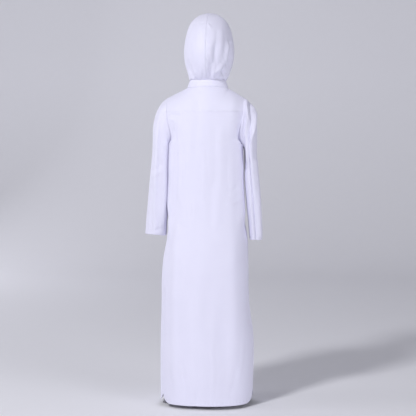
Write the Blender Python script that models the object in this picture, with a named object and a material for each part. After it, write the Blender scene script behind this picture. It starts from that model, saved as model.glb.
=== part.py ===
"""Hooded ankle-length robe of thin white cloth, hollow, in the form that it has when worn.

Metres, +Z up, the front faces -Y and the robe's left side is at +X. The origin is the middle of
the neck base, between the shoulders, where the robe is held up.
"""

import bmesh
import bpy
import numpy as np

# Heights and cloth
HEM_Z = -1.049
SLIT_TOP_Z = -0.66
UNDERARM_Z = -0.190
YOKE_Z = -0.082
CLOTH = 0.0013
COLLAR_CLOTH = 0.0020
SEAM_GAP = 0.0004
CENTRE_X = 0.003

# Side slits: how far each edge stands back at the hem, and the rounded corners' width and rise
SLIT_SPREAD = 0.007
HEM_CORNERS = {
    ("back", "left"): (0.040, 0.036),
    ("back", "right"): (0.090, 0.058),
    ("front", "left"): (0.070, 0.050),
    ("front", "right"): (0.080, 0.056),
}

# Neck and collar: half widths in X and Y of the base and top rings, and the front drop
NECK_CENTRE = (-0.003, -0.005)
NECK_HALF = (0.0690, 0.0570)
COLLAR_TOP_HALF = (0.0600, 0.0510)
COLLAR_HEIGHT = 0.0245
NECK_FRONT_DROP = 0.028
NECK_DROP_POWER = 3.0
COLLAR_LAP = 0.0028
COLLAR_LAP_TURN = 22.0
COLLAR_END_TURN = 4.0
COLLAR_STEP_TURNS = (130.0, 172.0)

# Shoulders: the seam from the neck to the tip, and the way that the cloth takes to it, level and
# up. It runs over the seam at the shoulder, along the neck's ring beside it, and into the ring at
# the middle.
SHOULDER_SEAM_Y = -0.010
SHOULDER_POINT = (0.1275, -0.036)
SHOULDER_SLOPE = 0.22
NECK_SIDE_WAY = (0.88, 0.47)
NECK_MIDDLE_WAYS = {"back": (0.68, 0.72), "front": (0.45, 0.90)}
NECK_WAY_REACH = 0.60
YOKE_LEAN = 0.10

# Front opening
NECK_SLIT_DEPTH = 0.215
NECK_SLIT_COLUMNS = (0.4985, 0.5015)
FRONT_WIDTH = 0.40
PLACKET_HALF_WIDTH = 0.014
PLACKET_END = 0.018
PLACKET_TOP_SHARE = 0.94
PLACKET_UNDER_SHARE = 0.90
BUTTON_RADIUS = 0.0055
BUTTON_THICK = 0.0024
BUTTON_PLACES = (("button_1", 0.030), ("button_2", 0.095), ("button_3", 0.160))
BUTTON_PROFILE = [
    # radius share, height share
    (0.60, 0.70),
    (0.72, 1.00),
    (0.92, 0.95),
    (1.00, 0.60),
    (0.92, 0.00),
]

# Body sections from the underarm to the hem: height, left and right edge, back and front depth,
# the squareness of the section, and how far the left side seam lies behind the widest point
BODY_SECTIONS = [
    # z,      left,   right,   back,   front,  square, seam
    (-0.190, 0.1210, -0.1150, 0.0970, -0.0920, 2.45, 0.000),
    (-0.260, 0.1225, -0.1165, 0.0955, -0.0945, 2.40, 0.000),
    (-0.340, 0.1235, -0.1190, 0.0930, -0.0975, 2.35, 0.004),
    (-0.430, 0.1255, -0.1240, 0.0975, -0.1010, 2.30, 0.022),
    (-0.500, 0.1330, -0.1360, 0.1040, -0.1050, 2.30, 0.044),
    (-0.576, 0.1470, -0.1395, 0.1090, -0.1090, 2.35, 0.064),
    (-0.720, 0.1520, -0.1420, 0.1140, -0.1140, 2.40, 0.074),
    (-0.860, 0.1555, -0.1560, 0.1200, -0.1200, 2.40, 0.076),
    (-0.960, 0.1555, -0.1570, 0.1260, -0.1250, 2.40, 0.076),
    (-1.050, 0.1540, -0.1550, 0.1310, -0.1290, 2.40, 0.076),
]

# Armhole edge of the back and front panels, from the underarm up to the yoke seam
ARMHOLE = [
    # up, half,   back edge, front edge, back middle, front middle, squareness
    (0.00, 0.1180, 0.0000, 0.0000, 0.0970, -0.0920, 2.45),
    (0.20, 0.1160, 0.0270, -0.0260, 0.0975, -0.0915, 2.44),
    (0.40, 0.1120, 0.0430, -0.0410, 0.0975, -0.0905, 2.38),
    (0.60, 0.1150, 0.0510, -0.0490, 0.0970, -0.0890, 2.26),
    (0.80, 0.1220, 0.0540, -0.0520, 0.0960, -0.0870, 2.14),
    (1.00, 0.1260, 0.0520, -0.0500, 0.0935, -0.0835, 2.06),
]

# Sleeve sections below the armhole: height of the middle, inner and outer edge, middle and half
# depth in Y, tilt of the ring's outer edge below its inner one
SLEEVE_SECTIONS = {
    "left": [
        # z,      inner,  outer,  middle_y, half_y, tilt
        (-0.226, 0.1300, 0.1830, 0.0040, 0.0560, 0.006),
        (-0.290, 0.1305, 0.1895, 0.0020, 0.0550, 0.004),
        (-0.350, 0.1320, 0.1960, -0.0020, 0.0530, 0.002),
        (-0.410, 0.1345, 0.2025, -0.0080, 0.0510, 0.000),
        (-0.455, 0.1385, 0.2065, -0.0150, 0.0485, -0.002),
        (-0.492, 0.1430, 0.2106, -0.0220, 0.0465, -0.002),
    ],
    "right": [
        (-0.226, -0.1245, -0.1685, 0.0040, 0.0600, 0.010),
        (-0.290, -0.1265, -0.1730, 0.0020, 0.0590, 0.006),
        (-0.350, -0.1300, -0.1785, -0.0020, 0.0570, 0.004),
        (-0.410, -0.1345, -0.1825, -0.0080, 0.0550, 0.003),
        (-0.460, -0.1390, -0.1845, -0.0150, 0.0530, 0.002),
        (-0.508, -0.1440, -0.1850, -0.0220, 0.0510, 0.001),
    ],
}
SLEEVE_SQUARENESS = 2.15

# The way that a sleeve leaves the armhole: outwards and its gain at the top, swing in Y, downwards
# and its loss at the top, and how far it is followed
SLEEVE_OUT = (0.72, 0.12)
SLEEVE_SWING = 0.16
SLEEVE_DOWN = (-0.70, 0.16)
SLEEVE_REACH = 1.1

# Hood outline at rising heights: half width, front edge and back seam in Y
HOOD_SECTIONS = [
    # up,  half,   front,   back
    (0.00, 0.0610, -0.0400, 0.0480),
    (0.08, 0.0715, -0.0560, 0.0640),
    (0.20, 0.0830, -0.0740, 0.0810),
    (0.33, 0.0885, -0.0850, 0.0950),
    (0.46, 0.0885, -0.0920, 0.1030),
    (0.62, 0.0841, -0.0960, 0.1060),
    (0.74, 0.0770, -0.0980, 0.1050),
    (0.84, 0.0665, -0.0990, 0.1020),
    (0.92, 0.0495, -0.0990, 0.0980),
    (0.97, 0.0300, -0.0990, 0.0950),
    (1.00, 0.0000, -0.0990, 0.0930),
]
HOOD_TOP_Z = 0.2585
HOOD_CENTRE_X = -0.0045
HOOD_FRONT_DROP = 0.016
HOOD_DROP_REACH = 0.6
HOOD_SQUARENESS = 2.5
HOOD_FRONT_PINCH = 0.14
HOOD_PINCH_REACH = 0.45
HOOD_EDGE_ANGLE = 132.0
HOOD_GATHER_SHARE = 0.16
HOOD_MIDDLE_Z = 0.12

# Folds: soft ridges (+) and troughs (-) along a short line in (x, z). The panel tells which side
# the fold is on. A fold reaches further along the cloth than across it, by the root of FOLD_ALONG.
FOLD_ALONG = 0.12
BODY_FOLDS = [
    # panel,  height,   width,  line
    ("back", -0.0040, 0.0120, [(0.022, -0.045), (0.024, -0.105), (0.030, -0.200)]),
    ("back", -0.0045, 0.0120, [(-0.036, -0.170), (-0.036, -0.293), (-0.024, -0.330), (-0.024, -0.430)]),
    ("back", 0.0035, 0.0110, [(-0.056, -0.165), (-0.056, -0.300), (-0.044, -0.420)]),
    ("back", -0.0065, 0.0090, [(0.104, -0.170), (0.103, -0.300), (0.108, -0.385), (0.118, -0.420)]),
    ("back", 0.0050, 0.0100, [(0.086, -0.172), (0.085, -0.260), (0.089, -0.345)]),
    ("back", 0.0060, 0.0180, [(0.098, -0.490), (0.097, -0.620), (0.099, -0.800), (0.096, -0.960)]),
    ("back", -0.0070, 0.0240, [(0.058, -0.740), (0.054, -0.860), (0.046, -0.940), (0.030, -1.020)]),
    ("back", 0.0035, 0.0230, [(0.018, -0.660), (0.010, -0.820), (-0.004, -0.980)]),
    ("back", 0.0070, 0.0200, [(-0.092, -0.540), (-0.096, -0.720), (-0.100, -0.880)]),
    ("back", -0.0050, 0.0220, [(-0.060, -0.800), (-0.078, -0.920), (-0.066, -0.990)]),
    ("front", -0.0050, 0.0130, [(0.050, -0.120), (0.046, -0.240), (0.056, -0.380)]),
    ("front", -0.0050, 0.0120, [(-0.056, -0.130), (-0.050, -0.250), (-0.060, -0.400)]),
    ("front", 0.0070, 0.0200, [(0.090, -0.470), (0.094, -0.700), (0.088, -0.960)]),
    ("front", -0.0080, 0.0220, [(0.050, -0.600), (0.054, -0.820), (0.038, -1.000)]),
    ("front", 0.0050, 0.0220, [(0.004, -0.620), (-0.002, -0.820), (0.006, -0.990)]),
    ("front", -0.0080, 0.0220, [(-0.048, -0.560), (-0.054, -0.800), (-0.046, -0.980)]),
    ("front", 0.0070, 0.0190, [(-0.096, -0.520), (-0.098, -0.760), (-0.104, -0.940)]),
]
SLEEVE_FOLDS = [
    # panel,        height,   width,  line
    ("right back", 0.0060, 0.0055, [(-0.131, -0.056), (-0.138, -0.111), (-0.136, -0.171), (-0.138, -0.237)]),
    ("right back", -0.0060, 0.0055, [(-0.143, -0.060), (-0.152, -0.105), (-0.147, -0.171), (-0.147, -0.240)]),
    ("right back", 0.0050, 0.0050, [(-0.151, -0.056), (-0.164, -0.086), (-0.164, -0.118), (-0.156, -0.165)]),
    ("right back", -0.0060, 0.0065, [(-0.156, -0.330), (-0.158, -0.420), (-0.160, -0.490)]),
    ("right front", -0.0050, 0.0060, [(-0.134, -0.070), (-0.142, -0.130), (-0.138, -0.210)]),
    ("right front", 0.0045, 0.0060, [(-0.150, -0.070), (-0.156, -0.120), (-0.150, -0.200)]),
    ("right front", -0.0045, 0.0070, [(-0.150, -0.280), (-0.156, -0.380), (-0.162, -0.470)]),
    ("left back", -0.0045, 0.0070, [(0.142, -0.120), (0.144, -0.220), (0.150, -0.330)]),
    ("left back", 0.0035, 0.0070, [(0.160, -0.160), (0.166, -0.290), (0.174, -0.400)]),
    ("left back", -0.0035, 0.0070, [(0.176, -0.340), (0.180, -0.420), (0.184, -0.480)]),
    ("left front", -0.0050, 0.0070, [(0.142, -0.080), (0.148, -0.160), (0.150, -0.260)]),
    ("left front", 0.0040, 0.0070, [(0.160, -0.120), (0.166, -0.250), (0.172, -0.350)]),
]
HOOD_FOLDS = [
    # panel, height,  width,  line
    ("hood", 0.0060, 0.0070, [(-0.062, 0.117), (-0.0525, 0.088), (-0.044, 0.062), (-0.024, 0.042), (-0.019, 0.024)]),
    ("hood", 0.0045, 0.0065, [(-0.081, 0.152), (-0.087, 0.120), (-0.086, 0.096), (-0.075, 0.060), (-0.056, 0.026)]),
    ("hood", -0.0090, 0.0075, [(-0.073, 0.149), (-0.066, 0.115), (-0.060, 0.087), (-0.049, 0.056), (-0.028, 0.036)]),
    ("hood", -0.0045, 0.0090, [(-0.030, 0.120), (-0.028, 0.085), (-0.016, 0.062), (-0.012, 0.046)]),
    ("hood", 0.0035, 0.0070, [(0.055, 0.096), (0.045, 0.072), (0.032, 0.042), (0.026, 0.024)]),
    ("hood", -0.0035, 0.0060, [(0.060, 0.074), (0.044, 0.036)]),
]

# Where the folds fade out: near the neck, near a panel's side edges, near an armhole, near the
# hood's front, foot and seam, and where a sleeve turns from back to front
FOLD_NECK_FADE = (0.012, 0.060)
FOLD_EDGE_FADE = (0.001, 0.026)
FOLD_ARMHOLE_FADE = (0.0, 0.030)
FOLD_SLEEVE_FADE = (-0.004, 0.010)
FOLD_HOOD_FRONT_FADE = (-0.010, 0.030)
FOLD_HOOD_FOOT_FADE = (0.0, 0.014)
FOLD_HOOD_SEAM_FADE = (0.0, 0.012)

# Mesh fineness: cells across and along each piece
SHOULDER_COLUMNS = 7
NECK_COLUMNS = 12
NECK_SHARE = 0.25
EVEN_COLUMNS = 0.55
UPPER_ROWS = 9
BODY_ROWS = 14
SLIT_ROWS = 8
HEM_ROWS = 4
HEM_BAND = 0.050
YOKE_ROWS = 6
PLACKET_ROWS = (4, 6, 3)
SLEEVE_COLUMNS = 28
SLEEVE_CAP_ROWS = 8
SLEEVE_ROWS = 11
HOOD_CELLS = 14
COLLAR_CELLS = 28
BUTTON_SIDES = 14
CURVE_STEPS = 301
SEAM_SPARE = 1.2

MERGE_DISTANCE = 1e-6
SHARP_ANGLE = 1.0
WHITE_CLOTH = (0.83, 0.82, 0.90)
CLOTH_ROUGHNESS = 0.85
BUTTON_WHITE = (0.86, 0.85, 0.88)
BUTTON_ROUGHNESS = 0.35


def smooth_step(value, start, end):
    share = np.clip((np.asarray(value, float) - start) / (end - start), 0.0, 1.0)
    return share * share * (3.0 - 2.0 * share)


def through(rows, column, at):
    """Reads a table's column on a smooth curve through its rows. The first column is the place."""
    rows = np.array(rows, float)
    place, value = rows[:, 0], rows[:, column]
    if place[0] > place[-1]:
        place, value = place[::-1], value[::-1]
    slope = np.gradient(value, place)
    at = np.clip(np.asarray(at, float), place[0], place[-1])
    index = np.clip(np.searchsorted(place, at, side="right") - 1, 0, len(place) - 2)
    width = place[index + 1] - place[index]
    share = (at - place[index]) / width
    rest = 1.0 - share
    return (
        value[index] * rest * rest * (1.0 + 2.0 * share)
        + value[index + 1] * share * share * (3.0 - 2.0 * share)
        + width * share * rest * (rest * slope[index] - share * slope[index + 1])
    )


def run_lengths(points):
    """Lengths from the first row of points to each row."""
    steps = np.linalg.norm(np.diff(points, axis=0), axis=-1)
    return np.concatenate([np.zeros_like(steps[:1]), np.cumsum(steps, axis=0)])


def points_at(points, lengths, at):
    """Points of a polyline at the given lengths from its start."""
    return np.stack([np.interp(at, lengths, points[:, axis]) for axis in range(3)], axis=1)


def curved(start, start_way, end, end_way, shares):
    """Rows of points on cubic curves from start to end, leaving and arriving along the two ways."""
    share = np.asarray(shares)[:, None, None]
    return (
        (2 * share**3 - 3 * share**2 + 1) * start
        + (share**3 - 2 * share**2 + share) * start_way
        + (3 * share**2 - 2 * share**3) * end
        + (share**3 - share**2) * end_way
    )


def unit(vectors):
    return vectors / np.maximum(np.linalg.norm(vectors, axis=-1, keepdims=True), 1e-12)


def outward(grid, facing, tube=False):
    """Normals of a grid of points, turned the way that the facing vectors give.

    A tube's last column repeats its first.
    """
    if tube:
        wide = np.concatenate([grid[:, -2:-1], grid, grid[:, 1:2]], axis=1)
        across = np.gradient(wide, axis=1)[:, 1:-1]
    else:
        across = np.gradient(grid, axis=1, edge_order=2)
    found = unit(np.cross(across, np.gradient(grid, axis=0, edge_order=2)))
    return found if (found * facing).sum() > 0 else -found


def fold_height(folds, panel, across, z):
    """Sum of the folds of one panel at places given by (across, z)."""
    total = np.zeros_like(z)
    for name, height, width, line in folds:
        if name != panel:
            continue
        line = np.array(line)
        nearest = np.full(z.shape, np.inf)
        for (x0, z0), (x1, z1) in zip(line[:-1], line[1:]):
            run, rise = x1 - x0, z1 - z0
            share = np.clip(((across - x0) * run + (z - z0) * rise) / (run**2 + rise**2), 0.0, 1.0)
            away = (across - x0 - share * run) ** 2 + FOLD_ALONG * (z - z0 - share * rise) ** 2
            nearest = np.minimum(nearest, away)
        total += height * np.exp(-nearest / width**2)
    return total


def graded(count, share):
    """Column places over an outer stretch of the panel, finer towards its side edge."""
    steps = np.linspace(0.0, 1.0, count + 1)
    return share * (EVEN_COLUMNS * steps + (1.0 - EVEN_COLUMNS) * steps**2)


def panel_columns():
    outer = graded(SHOULDER_COLUMNS, NECK_SHARE)
    middle = np.linspace(NECK_SHARE, 1.0 - NECK_SHARE, NECK_COLUMNS + 1)
    return np.concatenate([outer[:-1], middle, (1.0 - outer)[::-1][1:]])


def section_row(z, side, columns, inset=0.0):
    """Points across one panel at height z, from its left side edge to its right one."""
    left, right, back, front, square, seam = [float(through(BODY_SECTIONS, k, z)) for k in range(1, 7)]
    own, other = (back, front) if side == "back" else (front, back)
    turn = np.linspace(-SEAM_SPARE, np.pi, CURVE_STEPS)
    power = 2.0 / square
    half, middle = (left - right) / 2, (left + right) / 2
    x = middle + half * np.sign(np.cos(turn)) * np.abs(np.cos(turn)) ** power
    y = np.where(turn < 0.0, other, own) * np.abs(np.sin(turn)) ** power
    curve = np.stack([x, y, np.full_like(x, z)], axis=1)
    lengths = run_lengths(curve)
    start = np.interp(0.0, turn, lengths) + inset + (seam if side == "back" else -seam)
    end = lengths[-1] - inset
    return points_at(curve, lengths, start + columns * (end - start))


def lower_body(side, columns, heights):
    """The body below the underarm, with the side slits and the rounded hem corners."""
    rows = []
    for height in heights:
        open_share = np.clip((height - SLIT_TOP_Z) / (HEM_Z - SLIT_TOP_Z), 0.0, 1.0)
        rows.append(section_row(height, side, columns, SLIT_SPREAD * open_share))
    grid = np.array(rows)
    run = run_lengths(grid[-1])
    lift = np.zeros_like(run)
    for from_edge, edge in ((run, "left"), (run[-1] - run, "right")):
        width, rise = HEM_CORNERS[side, edge]
        inside = np.clip(1.0 - from_edge / width, 0.0, 1.0)
        lift += rise * (1.0 - np.sqrt(1.0 - inside**2))
    grid[:, :, 2] += lift * smooth_step(-grid[:, :, 2], -SLIT_TOP_Z, -HEM_Z)
    return grid


def upper_heights(ups):
    return UNDERARM_Z + (YOKE_Z - UNDERARM_Z) * (1.0 - np.cos(np.asarray(ups) * np.pi / 2))


def upper_body(side, columns, ups):
    """The body from the underarm to the yoke seam, cut in by the armholes."""
    ring = section_row(UNDERARM_Z, side, columns)
    ring_place = (ring[:, 0] - CENTRE_X) / ARMHOLE[0][1]
    even_place = 1.0 - 2.0 * np.asarray(columns)
    rows = []
    for up, height in zip(ups, upper_heights(ups)):
        edge_x = through(ARMHOLE, 1, up)
        edge_y = through(ARMHOLE, 2 if side == "back" else 3, up)
        middle_y = through(ARMHOLE, 4 if side == "back" else 5, up)
        square = through(ARMHOLE, 6, up)
        share = smooth_step(up, 0.0, 0.6)
        cut_in = (1.0 - (edge_y / middle_y) ** square) ** (1.0 / square)
        place = cut_in * ((1.0 - share) * ring_place + share * even_place)
        x = CENTRE_X + place * edge_x / cut_in
        y = middle_y * np.maximum(1.0 - np.abs(place) ** square, 0.0) ** (1.0 / square)
        rows.append(np.stack([x, y, np.full_like(x, height)], axis=1))
    return np.array(rows)


def neck_ring(turn, up=0.0):
    """Points of the collar's ring. Turn is 0 at the back and 90 degrees on the left, up is 0 to 1."""
    angle = np.radians(turn)
    half_x = NECK_HALF[0] + (COLLAR_TOP_HALF[0] - NECK_HALF[0]) * up
    half_y = NECK_HALF[1] + (COLLAR_TOP_HALF[1] - NECK_HALF[1]) * up
    drop = NECK_FRONT_DROP * ((1.0 - np.cos(angle)) / 2) ** NECK_DROP_POWER
    x = NECK_CENTRE[0] + half_x * np.sin(angle)
    y = NECK_CENTRE[1] + half_y * np.cos(angle)
    return np.stack([x, y, COLLAR_HEIGHT * up - drop], axis=-1)


def shoulder_turn():
    """The turn of the neck ring at which the shoulder seam meets it."""
    return float(np.degrees(np.arccos((SHOULDER_SEAM_Y - NECK_CENTRE[1]) / NECK_HALF[1])))


def cap_top(side, columns):
    """The upper edge of the shoulder part, and the way that the cloth takes to it."""
    corner = shoulder_turn()
    across = 2.0 * np.minimum(columns, 1.0 - columns)
    way = np.where(columns < 0.5, 1.0, -1.0)
    share = np.clip(across / (2.0 * NECK_SHARE), 0.0, 1.0)[:, None]
    inward = np.clip((across - 2.0 * NECK_SHARE) / (1.0 - 2.0 * NECK_SHARE), 0.0, 1.0)
    middle_turn = 0.0 if side == "back" else 180.0
    turns = way * (corner + (middle_turn - corner) * inward)
    neck = neck_ring(turns)
    level = np.ones_like(way)
    tip_x = CENTRE_X + way * SHOULDER_POINT[0]
    tip = np.stack([tip_x, level * SHOULDER_SEAM_Y, level * SHOULDER_POINT[1]], axis=1)
    edge = np.where(share < 1.0, tip + (neck - tip) * share, neck)
    sine, cosine = np.sin(np.radians(turns)), np.cos(np.radians(turns))
    ahead = 1.0 if side == "back" else -1.0
    along = unit(np.stack([way * cosine * NECK_HALF[0], -np.abs(sine) * NECK_HALF[1], 0.0 * way], axis=1))
    over = ahead * (along - np.array([0.0, 0.0, SHOULDER_SLOPE]))
    level_way, up_way = [
        side_part + (middle_part - side_part) * np.abs(cosine)
        for side_part, middle_part in zip(NECK_SIDE_WAY, NECK_MIDDLE_WAYS[side])
    ]
    into = np.stack([-sine * level_way, -cosine * level_way, up_way], axis=1)
    over_share = np.cos(inward * np.pi / 2)[:, None]
    into_share = np.sin(inward * np.pi / 2)[:, None]
    arrive = over * over_share + into * into_share
    return edge, arrive * (1.0 - (1.0 - NECK_WAY_REACH) * into_share)


def cap(side, columns, shares):
    """The shoulder part, from the height of the yoke seam to the shoulder seam and the neck."""
    start = upper_body(side, columns, [1.0])[0]
    end, arrive = cap_top(side, columns)
    reach = np.linalg.norm(end - start, axis=1, keepdims=True)
    level = np.zeros(len(start))
    leave = np.stack([level, -YOKE_LEAN * np.sign(start[:, 1]), level + 1.0], axis=1)
    return curved(start, leave * reach, end, arrive * reach, shares)


def folded(grid, side, to_edges=True):
    """The grid with the folds of its panel, and its normals. To the panel's edges the folds fade."""
    facing = np.array([0.0, 1.0 if side == "back" else -1.0, 0.25])
    found = outward(grid, facing)
    height = fold_height(BODY_FOLDS, side, grid[:, :, 0], grid[:, :, 2])
    height *= smooth_step(-grid[:, :, 2], *FOLD_NECK_FADE)
    if to_edges:
        across = run_lengths(grid.transpose(1, 0, 2)).T
        height *= smooth_step(np.minimum(across, across[:, -1:] - across), *FOLD_EDGE_FADE)
    moved = grid + found * height[:, :, None]
    return moved, outward(moved, facing)


def body_rows():
    band_z = HEM_Z + HEM_BAND
    lower = np.linspace(UNDERARM_Z, SLIT_TOP_Z, BODY_ROWS + 1)
    slit = np.linspace(SLIT_TOP_Z, band_z, SLIT_ROWS + 1)[1:]
    hem = np.linspace(band_z, HEM_Z, HEM_ROWS + 1)[1:]
    return np.concatenate([lower, slit, hem])


def wall(name, outer, inner, material, tube=False, open_cells=()):
    """One closed wall of cloth between its outer and inner points."""
    rows, columns = outer.shape[:2]
    mesh = bmesh.new()
    other_side = mesh.verts.layers.float_vector.new("other_side")
    bmesh.ops.create_grid(mesh, x_segments=columns - 1, y_segments=rows - 1, size=1.0)
    for vert, out, back in zip(mesh.verts, outer.reshape(-1, 3), inner.reshape(-1, 3)):
        vert.co = out
        vert[other_side] = back
    if open_cells:
        mesh.faces.ensure_lookup_table()
        cut = [mesh.faces[row * (columns - 1) + column] for row, column in open_cells]
        bmesh.ops.delete(mesh, geom=cut, context="FACES")
    if tube:
        bmesh.ops.remove_doubles(mesh, verts=mesh.verts, dist=MERGE_DISTANCE)
    made = bmesh.ops.extrude_face_region(mesh, geom=mesh.faces[:], use_keep_orig=True)
    for piece in made["geom"]:
        if isinstance(piece, bmesh.types.BMVert):
            piece.co = piece[other_side]
    bmesh.ops.recalc_face_normals(mesh, faces=mesh.faces)
    return finished(name, mesh, material)


def finished(name, mesh, material):
    if mesh.calc_volume(signed=True) < 0.0:
        bmesh.ops.reverse_faces(mesh, faces=mesh.faces)
    data = bpy.data.meshes.new(name)
    mesh.to_mesh(data)
    mesh.free()
    data.materials.append(material)
    data.shade_smooth()
    data.set_sharp_from_angle(angle=SHARP_ANGLE)
    piece = bpy.data.objects.new(name, data)
    bpy.context.scene.collection.objects.link(piece)
    return piece


def surface(name, colour, roughness):
    material = bpy.data.materials.new(name)
    material.use_nodes = True
    shader = material.node_tree.nodes["Principled BSDF"]
    shader.inputs["Base Color"].default_value = (*colour, 1.0)
    shader.inputs["Roughness"].default_value = roughness
    shader.inputs["Metallic"].default_value = 0.0
    return material


def gap_edges(grid, first_row=0.0, last_row=0.0, sides=0.0):
    """Draws the edge rows and columns in, so that a seam gap is left."""
    grid = grid.copy()
    for line, amount, inward in ((0, first_row, 1), (-1, last_row, -2)):
        grid[line] += amount * unit(grid[inward] - grid[line])
    for line, inward in ((0, 1), (-1, -2)):
        grid[:, line] += sides * unit(grid[:, inward] - grid[:, line])
    return grid


def body_grid(side, columns):
    """Back up to the yoke seam, or front up to the shoulder seams and the neck."""
    ups = np.linspace(1.0, 0.0, UPPER_ROWS + 1)
    grid = np.concatenate([upper_body(side, columns, ups), lower_body(side, columns, body_rows()[1:])])
    if side == "front":
        shares = np.linspace(1.0, 0.0, YOKE_ROWS + 1)[:-1]
        grid = np.concatenate([cap(side, columns, shares), grid])
    return folded(grid, side)


def make_back(cloth):
    grid, found = body_grid("back", panel_columns())
    grid = gap_edges(grid, first_row=SEAM_GAP / 2, sides=SEAM_GAP / 2)
    wall("back", grid, grid - CLOTH * found, cloth)


def slit_columns():
    """Panel columns with a narrow middle cell, which the neck slit opens."""
    columns = panel_columns()
    middle = len(columns) // 2
    return np.concatenate([columns[:middle], NECK_SLIT_COLUMNS, columns[middle + 1:]])


def make_front(cloth):
    columns = slit_columns()
    grid, found = body_grid("front", columns)
    grid = gap_edges(grid, first_row=SEAM_GAP / 2, sides=SEAM_GAP / 2)
    middle = len(columns) // 2 - 1
    slit_end_z = grid[0, middle, 2] - NECK_SLIT_DEPTH
    rows = [row for row in range(len(grid) - 1) if grid[row + 1, middle, 2] > slit_end_z]
    wall("front", grid, grid - CLOTH * found, cloth, open_cells=[(row, middle) for row in rows])


def make_yoke(cloth):
    shares = np.linspace(1.0, 0.0, YOKE_ROWS + 1)
    grid, found = folded(cap("back", panel_columns(), shares), "back")
    grid = gap_edges(grid, first_row=SEAM_GAP / 2, last_row=SEAM_GAP / 2)
    wall("yoke_back", grid, grid - CLOTH * found, cloth)


def make_plackets(cloth):
    """Two strips along the neck slit: one over the front, one behind it."""
    columns = 0.5 + np.linspace(-1.0, 1.0, 3) * PLACKET_HALF_WIDTH / FRONT_WIDTH
    cap_rows, upper_rows, lower_rows = PLACKET_ROWS
    shares = np.linspace(PLACKET_TOP_SHARE, 0.0, cap_rows + 1)[:-1]
    ups = np.linspace(1.0, 0.0, upper_rows + 1)
    end_z = neck_ring(np.array([180.0]))[0, 2] - NECK_SLIT_DEPTH - PLACKET_END
    heights = np.linspace(UNDERARM_Z, end_z, lower_rows + 1)[1:]
    parts = [cap("front", columns, shares), upper_body("front", columns, ups)]
    parts.append(lower_body("front", columns, heights))
    grid, found = folded(np.concatenate(parts), "front", to_edges=False)
    over = grid + SEAM_GAP * found
    wall("placket_over", over + CLOTH * found, over, cloth)
    under = grid - (CLOTH + SEAM_GAP) * found
    under = under * np.array([PLACKET_UNDER_SHARE, 1.0, 1.0])
    wall("placket_under", under, under - CLOTH * found, cloth)
    return over + CLOTH * found, found


def make_buttons(over, found, collar_spot, plastic):
    """A turned button with a rim and a sunken middle, four times."""
    middle = over.shape[1] // 2
    run, ways = over[:, middle], found[:, middle]
    length = run_lengths(run)
    spots = []
    for name, down in BUTTON_PLACES:
        centre = points_at(run, length, np.array([down]))[0]
        spots.append((name, centre, points_at(ways, length, np.array([down]))[0]))
    spots.append(("button_collar", *collar_spot))
    for name, centre, way in spots:
        way = unit(way)
        side = unit(np.cross([0.0, 0.0, 1.0], way))
        rise = np.cross(way, side)
        mesh = bmesh.new()
        rings = []
        for radius_share, height_share in BUTTON_PROFILE:
            radius = BUTTON_RADIUS * radius_share
            ring = bmesh.ops.create_circle(mesh, segments=BUTTON_SIDES, radius=radius)["verts"]
            for vert in ring:
                x, y = vert.co.x, vert.co.y
                lift = SEAM_GAP + BUTTON_THICK * height_share
                vert.co = centre + side * x + rise * y + way * lift
            rings.append(ring)
        for lower, upper in zip(rings[:-1], rings[1:]):
            near = set(lower) | set(upper)
            edges = {edge for vert in near for edge in vert.link_edges if set(edge.verts) <= near}
            ringed = [edge for edge in edges if (edge.verts[0] in lower) == (edge.verts[1] in lower)]
            bmesh.ops.bridge_loops(mesh, edges=ringed)
        bmesh.ops.contextual_create(mesh, geom=rings[0])
        bmesh.ops.contextual_create(mesh, geom=rings[-1])
        bmesh.ops.recalc_face_normals(mesh, faces=mesh.faces)
        finished(name, mesh, plastic)


def armhole_loop(side):
    """The armhole's edge, from the shoulder tip down the back, under the arm and up the front."""
    column = np.array([0.0, 0.5, 1.0])
    pick = 0 if side == "left" else -1
    steps = np.linspace(0.0, 1.0, SLEEVE_COLUMNS + 1)
    parts = []
    for panel in ("back", "front"):
        rise = np.concatenate([upper_body(panel, column, steps), cap(panel, column, steps)[1:]])
        parts.append(rise[:, pick])
    return np.concatenate([parts[0][::-1], parts[1][1:]])


def sleeve_ring(rows, z, turns):
    """One section of a sleeve. Turn 0 is its outer side, a quarter turn is its back."""
    inner, outer, middle_y, half_y, tilt = [float(through(rows, k, z)) for k in range(1, 6)]
    half = (outer - inner) / 2
    power = 2.0 / SLEEVE_SQUARENESS
    cosine, sine = np.cos(turns), np.sin(turns)
    x = (outer + inner) / 2 + half * np.sign(cosine) * np.abs(cosine) ** power
    y = middle_y + half_y * np.sign(sine) * np.abs(sine) ** power
    return np.stack([x, y, z - tilt * cosine], axis=1)


def sleeve_grid(side):
    """A sleeve from the armhole's edge to the cuff, without its folds."""
    rows = SLEEVE_SECTIONS[side]
    way = 1.0 if side == "left" else -1.0
    turns = np.linspace(0.0, 2.0 * np.pi, SLEEVE_COLUMNS + 1)
    loop = armhole_loop(side)
    length = run_lengths(loop)
    loop = points_at(loop, length, length[-1] * turns / (2.0 * np.pi))
    top_share = (1.0 + np.cos(turns)) / 2
    out = way * (SLEEVE_OUT[0] + SLEEVE_OUT[1] * top_share)
    down = SLEEVE_DOWN[0] + SLEEVE_DOWN[1] * top_share
    outer_way = unit(np.stack([out, SLEEVE_SWING * np.sin(turns), down], axis=1))
    start = loop + outer_way * SEAM_GAP * 2.0
    top_z = rows[0][0]
    first = sleeve_ring(rows, top_z, turns)
    lower_way = unit(sleeve_ring(rows, top_z - 0.01, turns) - first)
    reach = np.linalg.norm(first - start, axis=1, keepdims=True)
    shares = np.linspace(0.0, 1.0, SLEEVE_CAP_ROWS + 1)
    top = curved(start, outer_way * reach * SLEEVE_REACH, first, lower_way * reach, shares)
    heights = np.linspace(top_z, rows[-1][0], SLEEVE_ROWS + 1)[1:]
    grid = np.concatenate([top, [sleeve_ring(rows, z, turns) for z in heights]])
    grid[:, -1] = grid[:, 0]
    return grid


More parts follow.
